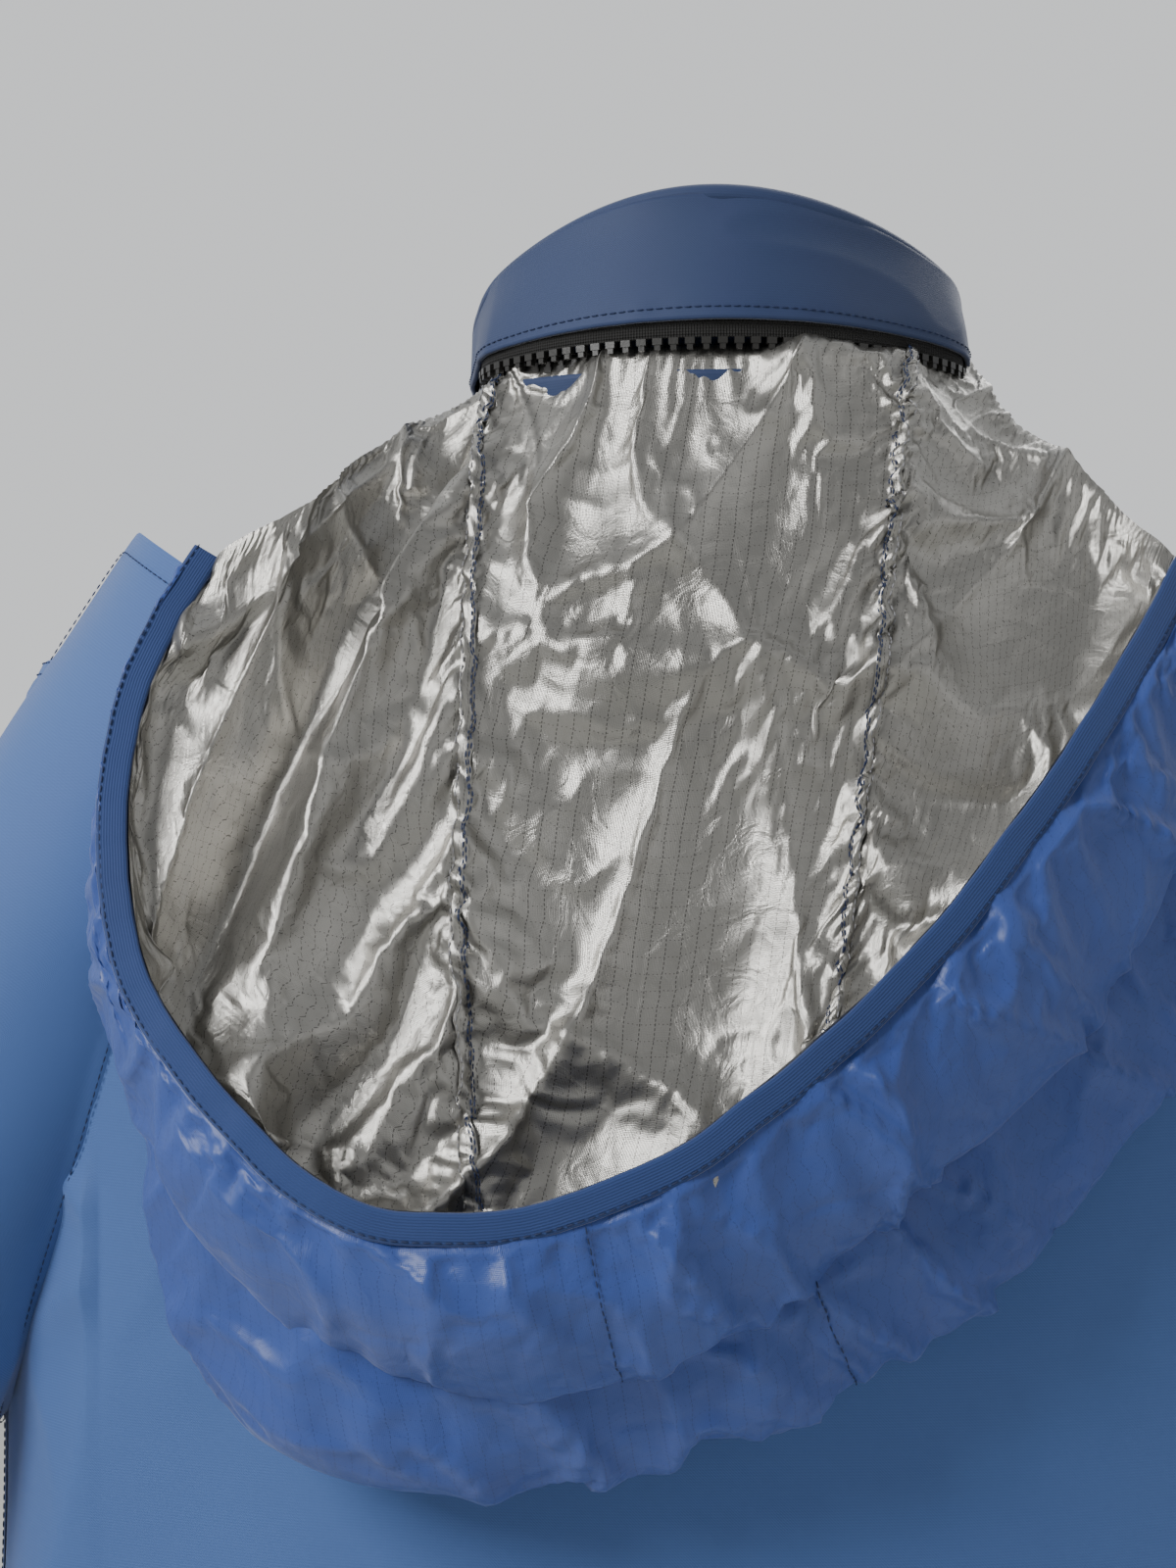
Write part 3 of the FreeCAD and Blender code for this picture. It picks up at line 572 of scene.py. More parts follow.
@dataclass(frozen=True)
class Row:
    """A row of stitches or teeth that follows a line."""

    unit: Unit
    pitch: float
    length: float
    width: float
    height: float

    def tree(self, finish: Finish) -> bpy.types.NodeTree:
        """Build the node tree that sets the unit along the line."""
        tree = bpy.data.node_groups.new(f"{self.unit.value} row", "GeometryNodeTree")
        face = tree.interface
        face.new_socket("Line", in_out="INPUT", socket_type="NodeSocketGeometry")
        for name, value in (("Pitch", self.pitch), ("Length", self.length), ("Width", self.width),
                            ("Height", self.height)):
            socket = face.new_socket(name, in_out="INPUT", socket_type="NodeSocketFloat")
            socket.default_value = value
        face.new_socket("Up", in_out="INPUT", socket_type="NodeSocketVector")
        face.new_socket("Row", in_out="OUTPUT", socket_type="NodeSocketGeometry")
        given = add(tree, "NodeGroupInput").outputs
        curve = add(tree, "GeometryNodeMeshToCurve", {"Mesh": given["Line"]})
        spots = add(tree, "GeometryNodeCurveToPoints", {"Curve": curve.outputs[0], "Length": given["Pitch"]},
                    mode="LENGTH")
        lie = add(tree, "FunctionNodeAlignRotationToVector", {"Vector": spots.outputs["Tangent"]}, axis="X")
        stand = add(tree, "FunctionNodeAlignRotationToVector",
                    {"Rotation": lie.outputs[0], "Vector": given["Up"]}, axis="Z", pivot_axis="X")
        scale = add(tree, "ShaderNodeCombineXYZ", {"X": given["Length"], "Y": given["Width"],
                                                   "Z": given["Height"]})
        if self.unit is Unit.STITCH:
            ball = add(tree, "GeometryNodeMeshUVSphere", {"Segments": 6, "Rings": 5, "Radius": 0.5})
            shape = ball.outputs["Mesh"]
        else:
            foot = add(tree, "GeometryNodeMeshCube", {"Size": (1.0, 1.0, 0.6)})
            head = add(tree, "GeometryNodeMeshCube", {"Size": (0.62, 0.8, 0.55)})
            top = add(tree, "GeometryNodeTransform", {"Geometry": head.outputs[0],
                                                      "Translation": (0.0, 0.0, 0.5)})
            join = add(tree, "GeometryNodeJoinGeometry")
            tree.links.new(foot.outputs[0], join.inputs[0])
            tree.links.new(top.outputs[0], join.inputs[0])
            shape = join.outputs[0]
        rows = add(tree, "GeometryNodeInstanceOnPoints",
                   {"Points": spots.outputs["Points"], "Instance": shape, "Rotation": stand.outputs[0],
                    "Scale": scale.outputs[0]})
        real = add(tree, "GeometryNodeRealizeInstances", {"Geometry": rows.outputs[0]})
        soft = add(tree, "GeometryNodeSetShadeSmooth", {"Geometry": real.outputs[0],
                                                        "Shade Smooth": self.unit is Unit.STITCH})
        dressed = add(tree, "GeometryNodeSetMaterial", {"Geometry": soft.outputs[0],
                                                        "Material": finish.build()})
        add(tree, "NodeGroupOutput", {"Row": dressed.outputs[0]})
        return tree

    def along(self, name: str, lines: Sequence[Array], finish: Finish, up: Sequence[float] = (0, 0, 1)
              ) -> bpy.types.Object:
        """Set the row along one or more lines.

        Args:
            name: The piece's name.
            lines: Each an array of points.
            finish: What the units are made of.
            up: The way their tops point.

        Returns:
            The row as one plain mesh.
        """
        points, edges, base = [], [], 0
        for line in lines:
            points.extend(np.asarray(line).tolist())
            edges.extend((base + k, base + k + 1) for k in range(len(line) - 1))
            base += len(line)
        mesh = bpy.data.meshes.new(name)
        mesh.from_pydata(points, edges, [])
        thing = new_object(name, mesh)
        tree = self.tree(finish)
        nodes = thing.modifiers.new("row", "NODES")
        nodes.node_group = tree
        for item in tree.interface.items_tree:
            if item.in_out == "INPUT" and item.name == "Up":
                nodes[item.identifier] = [float(value) for value in up]
        return apply_modifiers(thing)


TOPSTITCH = Row(Unit.STITCH, 3.0 * MM, 2.5 * MM, 0.55 * MM, 0.5 * MM)
LINING_STITCH = Row(Unit.STITCH, 2.6 * MM, 2.2 * MM, 0.5 * MM, 0.5 * MM)
CHAIN = Row(Unit.TOOTH, 5.0 * MM, 3.0 * MM, 2.4 * MM, 3.4 * MM)


@dataclass
class Piece:
    """What has been made, for the log and the frame."""

    thing: bpy.types.Object
    body: str = "root"
    slot: str = "body_shell"
    replaces: tuple[str, ...] = ()
    blend: tuple | None = None

    def place(self) -> bpy.types.Object:
        """Hand the piece to the frame."""
        if self.blend:
            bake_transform(self.thing)
        else:
            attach(self.thing, self.body)
        if self.replaces:
            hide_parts(*self.replaces)
        LOG.info("placed %s on %s", self.thing.name, self.body)
        return self.thing


def declare_sheet(thing: bpy.types.Object, cut: Array,
                  closed: bool = False) -> None:
    """Log the size that a sheet was cut to.

    Args:
        thing: The cloth piece.
        cut: Its grid before folds.
        closed: Whether the grid is a tube.
    """
    grid = np.concatenate([cut, cut[:, :1]], axis=1) if closed else cut
    declare_cut(thing, grid, float(cell_areas(grid).sum()))


def declare_cut(thing: bpy.types.Object, grid: Array, area: float) -> None:
    """Log a sheet's cut size from the spans of its grid; the area of its cut is clamped but not used further.
    """
    width, length = (round(max(span, LEAST_SPAN), 4) for span in spans(grid))
    area = min(max(area, LEAST_SHARE * width * length), width * length)
    LOG.info("%s is cut %.0f x %.0f mm", thing.name, width * 1000, length * 1000)


def bezier(controls: Sequence[Array], share: Array) -> Array:
    """Evaluate one Bezier per column: controls are (columns, 3), share is (rows,)."""
    order = len(controls) - 1
    result = 0.0
    for k, point in enumerate(controls):
        weight = math.comb(order, k) * share ** k * (1 - share) ** (order - k)
        result = result + weight[:, None, None] * point[None]
    return result


def refine(grid: Array) -> Array:
    """Double a grid's rows and columns along smooth curves."""
    for axis in (0, 1):
        grid = np.moveaxis(grid, axis, 0)
        padded = np.concatenate([2 * grid[:1] - grid[1:2], grid, 2 * grid[-1:] - grid[-2:-1]])
        middle = (9 * (padded[1:-2] + padded[2:-1]) - padded[:-3] - padded[3:]) / 16
        out = np.empty((len(grid) + len(middle),) + grid.shape[1:])
        out[0::2], out[1::2] = grid, middle
        grid = np.moveaxis(out, 0, axis)
    return grid


# ---- the torso's own form

@dataclass
class Torso:
    """The hung shape of the body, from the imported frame's own corners."""

    neck_radius: float = 0.084
    corner_soft: float = 0.016

    def __post_init__(self) -> None:
        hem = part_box("hem_band")
        self.hem_z, self.hem_top = hem[0].z, hem[1].z
        self.half = hem[1].x
        self.front, self.back = hem[0].y, hem[1].y
        self.yoke_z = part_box("back_yoke")[0].z
        self.stations = [(0.0, self.neck_radius, self.neck_radius), (-0.06, 0.232, 0.100),
                         (-0.15, self.half, self.back), (self.hem_z - 0.05, self.half, self.back)]

    def at_level(self, z: Array) -> tuple[Array, Array, Array]:
        """Half width, middle y and half depth of the section at z, with soft corners."""
        z = np.asarray(z)
        levels, *sizes = np.array(self.stations).T[:, ::-1]
        offsets = np.linspace(-1, 1, 9) * self.corner_soft
        near = [np.minimum(z + offset, 0.0) for offset in offsets]
        width, back = (mix(np.interp(z, levels, size), sum(np.interp(level, levels, size) for level in near)
                           / len(offsets), smooth(0.0, -0.02, z)) for size in sizes)
        return width, (back + self.front) / 2, (back - self.front) / 2

    def point(self, angle: Array, z: Array) -> Array:
        """A point of the section, angle 0 at the wearer's left and 90 degrees at the back."""
        width, middle, depth = self.at_level(z)
        return np.stack([width * np.cos(angle), middle + depth * np.sin(angle), z + 0 * angle], axis=-1)

    def back_y(self, x: Array, z: Array) -> Array:
        """How far back the cloth lies at x and z."""
        width, middle, depth = self.at_level(np.minimum(z, 0.0))
        inside = np.clip(1 - (x / width) ** 2, 0, 1)
        return middle + depth * np.sqrt(inside) - 0.03 * (np.abs(x) > width)


# ---- hood

@dataclass
class Hood:
    """The stow-away hood, pulled out of the collar and hanging as an open pouch."""

    torso: Torso
    columns: int = 161
    rows: int = 141
    slot_z: float = 0.0325
    slot_turn: float = 72.0
    band: float = 0.0092
    slot_radius: float = 0.0800
    seam_width: float = 0.0064
    row_step: float = 0.0016
    pucker_pitch: float = 0.0092
    strip_pitch: float = 0.0062
    rim: tuple = ((156, 93, -36), (182, 112, -69), (181, 132, -133), (166, 150, -165), (144, 168, -193),
                  (116, 180, -216), (97, 184, -221), (66, 186, -221), (33, 187, -209), (2, 184, -191),
                  (-29, 176, -165), (-59, 162, -134), (-90, 142, -98), (-115, 120, -64), (-134, 98, -35))
    roll: tuple = (1, 6, 18, 34, 45, 46, 54, 54, 8)
    under_roll: tuple = (2, 10, 40, 66, 60, 78, 84, 74, 10)

    def rim_line(self, count: int) -> Array:
        """The inner edge of the face opening, from the wearer's left to right."""
        raw = np.array(self.rim, float) * MM
        steps = np.linspace(0, 1, len(raw))
        fine = np.linspace(0, 1, 4 * len(raw))
        path = np.stack([np.interp(fine, steps, raw[:, k]) for k in range(3)], axis=-1)
        for _ in range(14):
            path[1:-1] = (path[:-2] + 2 * path[1:-1] + path[2:]) / 4
        length = np.concatenate([[0], np.cumsum(np.linalg.norm(np.diff(path, axis=0), axis=1))])
        spots = np.linspace(0, length[-1], count)
        line = np.stack([np.interp(spots, length, path[:, k]) for k in range(3)], axis=-1)
        wave = value_noise(line, 0.05, 5) * 0.0025 + value_noise(line, 0.021, 6) * 0.0012
        return line + self.outward(line) * (wave * np.sin(np.linspace(0, math.pi, count)))[:, None]

    @staticmethod
    def outward(line: Array) -> Array:
        """The way out of the pouch, in the plane of the back, at each rim point."""
        tangent = np.gradient(line, axis=0)
        out = unit(np.stack([tangent[:, 2], np.zeros(len(line)), -tangent[:, 0]], axis=-1))
        return out * np.sign(np.sum(out * (line - line.mean(axis=0)), axis=1).mean())

    def slot_line(self, count: int) -> Array:
        """Where the cloth leaves the collar, in the same order as the rim."""
        turn = np.radians(np.linspace(self.slot_turn, -self.slot_turn, count))
        return np.stack([np.sin(turn) * self.slot_radius, np.cos(turn) * self.slot_radius,
                         np.full(count, self.slot_z)], axis=-1)

    def clear_of_back(self, points: Array, room: float) -> Array:
        """Keep cloth off the jacket's back."""
        least = self.torso.back_y(points[..., 0], points[..., 2]) + room
        below = smooth(0.028, 0.0, points[..., 2])
        deeper = points.copy()
        soft = 0.004
        over = np.clip((points[..., 1] - least) / soft, -30, 30)
        eased = least + soft * np.log1p(np.exp(over))
        deeper[..., 1] = mix(points[..., 1], np.maximum(eased, points[..., 1]), below)
        return deeper

    def lining_cut(self) -> Array:
        """The lining's smooth form: out of the slot, down the back and up to the rim."""
        rim, slot = self.rim_line(self.columns), self.slot_line(self.columns)
        t = np.linspace(0, 1, self.columns)
        centre = np.sin(math.pi * t)[:, None]
        down = np.array([0, 0, -1.0])
        lip = np.stack([slot[:, 0] * 1.10, slot[:, 1] + 0.015, slot[:, 2] + 0.001], axis=-1)
        fall = mix(slot, rim, 0.34) + np.array([0, 0.010, -0.004])
        wall = mix(slot, rim, 0.72) + down * 0.055 * centre
        wall[:, 1] = mix(0.100, 0.126, centre[:, 0])
        floor = rim + down * 0.075 * centre
        floor[:, 1] = mix(0.101, 0.124, centre[:, 0])
        front = rim + down * 0.050 * centre + np.array([0, 0.004, 0])
        share = np.linspace(0, 1, self.rows) ** 0.92
        return self.clear_of_back(bezier([slot, lip, fall, wall, floor, front, rim], share), 0.004)

    def lining_folds(self, cut: Array) -> Array:
        """Fold the smooth form: long flow folds, then ridged crumples."""
        rows, cols = cut.shape[:2]
        t = np.linspace(0, 1, cols)[None, :]
        v = np.linspace(0, 1, rows)[:, None]
        edge = smooth(0, 0.07, v) * smooth(1, 0.88, v)
        flow = np.stack([cut[..., 0], cut[..., 1] * 0, cut[..., 2] * 0.28], axis=-1)
        slant = np.stack([cut[..., 0] + 0.55 * cut[..., 2], cut[..., 1], cut[..., 2] * 0.6], axis=-1)
        lift = 0.0060 * value_noise(flow, 0.046, 21) + 0.0050 * (ridges(flow, 0.040, 25) ** 1.5 - 0.3)
        lift += 0.0105 * (ridges(slant, (0.070, 0.08, 0.085), 31) ** 2 - 0.2)
        lift += 0.0046 * (ridges(cut, (0.036, 0.05, 0.052), 41) ** 2 - 0.2)
        # The deep fold down the wearer's left side, and the flat pleat that leaves it.
        pleat = 0.11 + 0.20 * v
        lift += 0.017 * bump(t, pleat + 0.035, 0.030) * smooth(0.1, 0.3, v)
        lift -= 0.013 * bump(t, pleat - 0.020, 0.022) * smooth(0.1, 0.3, v)
        lift += 0.008 * bump(t, 0.045, 0.016) * smooth(0.2, 0.4, v)
        # Cross folds where the pouch sags between the seams, then no hollow deep enough to pass the roll.
        lift += 0.0045 * bump(t - 0.62, 0.28 * (v - 0.5), 0.035) * smooth(0.35, 0.55, v)
        lift = mix(lift, np.maximum(lift, -0.001), smooth(0.50, 0.72, v))
        normal = grid_normals(cut)
        normal *= np.sign(normal[..., 1].mean())
        return self.clear_of_back(cut + normal * (lift * edge)[..., None], 0.0025)

    def seam_targets(self, rows: int) -> list[Array]:
        """How far across each felled seam runs, row by row."""
        v = np.linspace(0, 1, rows)
        left = np.interp(v, [0, 0.15, 0.45, 0.7, 1], [0.068, 0.078, 0.082, 0.074, 0.060])
        right = np.interp(v, [0, 0.15, 0.45, 0.7, 1], [-0.060, -0.054, -0.036, -0.020, -0.016])
        return [left, right]

    @staticmethod
    def column_at(grid: Array, target: Array) -> Array:
        """The fractional column of each row whose x is the target."""
        index = np.arange(grid.shape[1])
        return np.array([np.interp(-target[r], -grid[r, :, 0], index) for r in range(grid.shape[0])])

    @staticmethod
    def take(grid: Array, columns: Array) -> Array:
        """Read a grid at fractional columns, one for each row."""
        low = np.clip(np.floor(columns).astype(int), 0, grid.shape[1] - 2)
        share = (columns - low)[:, None]
        rows = np.arange(grid.shape[0])
        return grid[rows, low] * (1 - share) + grid[rows, low + 1] * share

    def seam_distance(self, grid: Array, seams: list[Array]) -> Array:
        """Signed distance along the cloth from the nearer seam."""
        index = np.arange(grid.shape[1])[None, :]
        step = np.linalg.norm(np.diff(grid, axis=1), axis=-1).mean(axis=1)[:, None]
        each = [(index - seam[:, None]) * step for seam in seams]
        return np.where(np.abs(each[0]) < np.abs(each[1]), each[0], each[1])

    def build(self) -> list[Piece]:
        """Make the lining, its seams, the binding and the outer cloth."""
        pieces = []
        turn = ("root", "hood", (0, 0.082, 0.034), (0, 0.108, -0.020))
        cut = self.lining_cut()
        grid = self.lining_folds(cut)
        thing = sheet_from("hood_lining_raw", grid, LINING)
        rows, cols = grid.shape[:2]
        pins = np.zeros((rows, cols))
        pins[:, :2], pins[:, -2:] = 0.6, 0.6
        pins[:7] = np.array([1, 1, 1, 0.9, 0.7, 0.4, 0.2])[:, None]
        pins[-7:] = np.array([0.2, 0.4, 0.7, 0.9, 1, 1, 1])[:, None]
        for seam in (self.column_at(grid, target) for target in self.seam_targets(rows)):
            for r in range(rows):
                pins[r, int(round(seam[r]))] = max(pins[r, int(round(seam[r]))], 0.35)
        grow_cloth(thing, pins.reshape(-1), growth=0.07, frames=16, cap=0.009)
        v = np.linspace(0, 1, rows)[:, None, None]
        grid = mix(grid, mesh_points(thing).reshape(rows, cols, 3), smooth(0, 0.10, v) * smooth(1, 0.86, v))
        bpy.data.objects.remove(thing)
        grid = self.clear_of_back(refine(grid), 0.002)
        seams = [self.column_at(grid, target) for target in self.seam_targets(grid.shape[0])]
        gap = self.seam_distance(grid, seams)
        normal = grid_normals(grid)
        facing = np.sign(normal[..., 1].mean())
        normal *= facing
        v = np.linspace(0, 1, grid.shape[0])[:, None]
        along = np.cumsum(np.full(grid.shape[:2], self.row_step), axis=0)
        away = smooth(0.003, 0.012, np.abs(gap))
        patch = smooth(-0.2, 0.7, value_noise(grid, 0.045, 57))
        fine = 0.0016 * patch * (ridges(grid, (0.014, 0.02, 0.018), 51) ** 2 - 0.2)
        drawn = np.sin(along * 2 * math.pi / self.pucker_pitch + 5 * value_noise(grid, 0.03, 71))
        pucker = 0.0009 * drawn * bump(gap, 0.0, 0.010) * smooth(-0.5, 0.5, value_noise(grid, 0.05, 75))
        edge = smooth(0, 0.03, v) * smooth(1, 0.985, v)
        grid = grid + normal * ((fine * away + pucker) * edge)[..., None]
        lining = sheet_from("hood_lining", grid, LINING, flip=facing < 0)
        declare_sheet(lining, cut)
        pieces.append(Piece(lining, "hood", "hood_lining",
                            ("hood_lining_left", "hood_lining_centre", "hood_lining_right"), turn))
        pieces += self.felled_seams(grid, normal, seams, turn)
        pieces += self.fold("hood_shell_roll", self.roll, 0.0, 0.0, 0.515,
                            ("hood_shell_left", "hood_shell_right"))
        pieces += self.fold("hood_shell_under", self.under_roll, 0.022, 0.30, 0.60, ("hood_shell_centre",))
        pieces += self.binding()
        return pieces

    def felled_seams(self, grid: Array, normal: Array, seams: list[Array], turn: tuple) -> list[Piece]:
        """The two flat-felled seams, each a doubled strip with its stitch rows."""
        pieces = []
        for name, seam, sign in (("left", seams[0], 1), ("right", seams[1], -1)):
            last = int(grid.shape[0] * 0.94)
            path = self.take(grid, seam)[2:last]
            up = self.take(normal, seam)[2:last]
            across = unit(self.take(np.gradient(grid, axis=1), seam)[2:last])
            along = np.arange(len(path)) * self.row_step
            width = self.seam_width
            shares = np.linspace(-0.5, 0.5, 9)
            crown = 0.0010 * (1 - (2 * shares) ** 4)
            wave = 0.0006 * np.sin(along * 2 * math.pi / self.strip_pitch)[:, None] * np.cos(shares * math.pi)
            strip = (path[:, None] + across[:, None] * (shares * width)[None, :, None]
                     + up[:, None] * (0.0004 + crown[None] + wave)[..., None])
            felled = sheet_from(f"hood_seam_{name}", strip, LINING)
            pieces.append(Piece(felled, "hood", "hood_lining", (), turn))
            rows = [path + across * width * share + up * 0.0015 for share in (0.26 * sign, 0.44 * sign)]
            dark = LINING_STITCH.along(f"hood_seam_stitches_{name}", rows, THREAD)
            pieces.append(Piece(dark, "hood", "binding", (), turn))
            edge = path - across * width * 0.42 * sign + up * 0.0012
            pale = LINING_STITCH.along(f"hood_seam_edge_{name}", [edge], PALE_THREAD)
            pieces.append(Piece(pale, "hood", "binding", (), turn))
        return pieces

    def binding(self) -> list[Piece]:
        """The elastic that binds the face opening, and the row that holds it."""
        line = self.rim_line(420)
        out = self.outward(line)
        middle = line + out * self.band / 2 + np.array([0, 0.0016, 0])
        ripple = value_noise(line, 0.012, 81)[:, None] * 0.0004
        band = sweep("hood_binding", middle + ripple, out, flat_loop(self.band, 0.0018), ELASTIC)
        held = line + out * (self.band - 0.0012) + np.array([0, 0.0027, 0])
        row = TOPSTITCH.along("hood_binding_stitches", [held], THREAD, (0, 1, 0))
        return [Piece(band, "hood", "binding", ("hood_binding",)), Piece(row, "hood", "binding")]

    def fold(self, name: str, rolls: tuple, behind: float, first: float, seam_share: float,
             replaced: tuple) -> list[Piece]:
        """One fold of the outer cloth, rolled below the binding.

        Args:
            name: The piece's name.
            rolls: Its depth along the rim, in millimetres.
            behind: How far behind the binding it starts.
            first: The share of the rim where a fold behind another begins.
            seam_share: Where its seam runs, as a share of the rim.
            replaced: The frame's nodes that it stands for.

        Returns:
            The cloth and its seam's stitches.
        """
        cols, rows = 181, 55
        line = self.rim_line(cols)
        t = np.linspace(0, 1, cols)
        depth = np.interp(t, np.linspace(0, 1, len(rolls)), rolls) * MM
        depth = np.convolve(np.pad(depth, 10, "edge"), np.ones(21) / 21, "valid")
        if behind > 0:
            depth = depth * smooth(first - 0.1, first + 0.12, t) + 0.010
        out = self.outward(line)
        way = out * 0.75 + np.array([0, 0, -0.45])
        plump = np.minimum(depth / 0.035, 1.0)[:, None] * np.array([0, 1.0, 0])
        start = line + out * (self.band - 0.001) + np.array([0, 0.0008 - behind, 0])
        full = start + way * (depth * 0.45)[:, None] + plump * 0.007
        low = start + way * (depth * 1.15)[:, None] + plump * 0.001
        turn_in = start + way * (depth * 1.05)[:, None]
        rest = self.torso.back_y(turn_in[:, 0], turn_in[:, 2]) + 0.006
        turn_in[:, 1] = np.minimum(rest, turn_in[:, 1] - 0.004)
        tucked = start + way * (depth * 0.25)[:, None]
        tucked[:, 1] = np.minimum(self.torso.back_y(tucked[:, 0], tucked[:, 2]) + 0.006, start[:, 1] - 0.006)
        cut = bezier([start, full, low, turn_in, tucked], np.linspace(0, 1, rows))
        v = np.linspace(0, 1, rows)[:, None]
        run = np.stack([np.broadcast_to(t * 0.75, (rows, cols)), np.broadcast_to(v * 0.03, (rows, cols)),
                        np.zeros((rows, cols))], axis=-1)
        gather = value_noise(run, (0.014, 0.02, 1.0), 91) * bump(v, 0.0, 0.20) * 0.0018
        x, y, z = np.moveaxis(cut, -1, 0)
        slanted = np.stack([x + z * 0.6, y, z - x * 0.6], axis=-1)
        lift = 0.0060 * (ridges(slanted, (0.100, 0.05, 0.030), 101) ** 2 - 0.25)
        lift += 0.0030 * (ridges(slanted, (0.045, 0.03, 0.020), 111) ** 2 - 0.25)
        normal = grid_normals(cut)
        normal *= np.sign(normal[:rows // 3, :, 1].mean())
        grid = cut + normal * (lift * smooth(0, 0.12, v) * plump[None, :, 1] + gather)[..., None]
        loose = sheet_from(f"{name}_raw", grid, HOOD_NYLON)
        held = np.zeros((rows, cols))
        held[:3], held[-3:], held[:, :2], held[:, -2:] = 1, 1, 0.8, 0.8
        grow_cloth(loose, held.reshape(-1), growth=0.045, frames=14, cap=0.005)
        grid = refine(mesh_points(loose).reshape(rows, cols, 3))
        bpy.data.objects.remove(loose)
        fine = 0.0007 * (ridges(grid, (0.015, 0.02, 0.012), 121) ** 2 - 0.2)
        grid += grid_normals(grid) * fine[..., None]
        cloth = sheet_from(name, grid, HOOD_NYLON, flip=True)
        declare_sheet(cloth, cut)
        column = int(grid.shape[1] * seam_share)
        up = grid_normals(grid)[:, column]
        up *= np.sign(up[:20, 1].mean())
        row = (grid[:, column] + up * 0.0006)[3:int(grid.shape[0] * 0.62)]
        stitches = TOPSTITCH.along(f"{name}_seam", [row], THREAD, (0, 1, 0))
        return [Piece(cloth, "hood", "hood_shell", replaced), Piece(stitches, "hood", "binding")]


# ---- collar

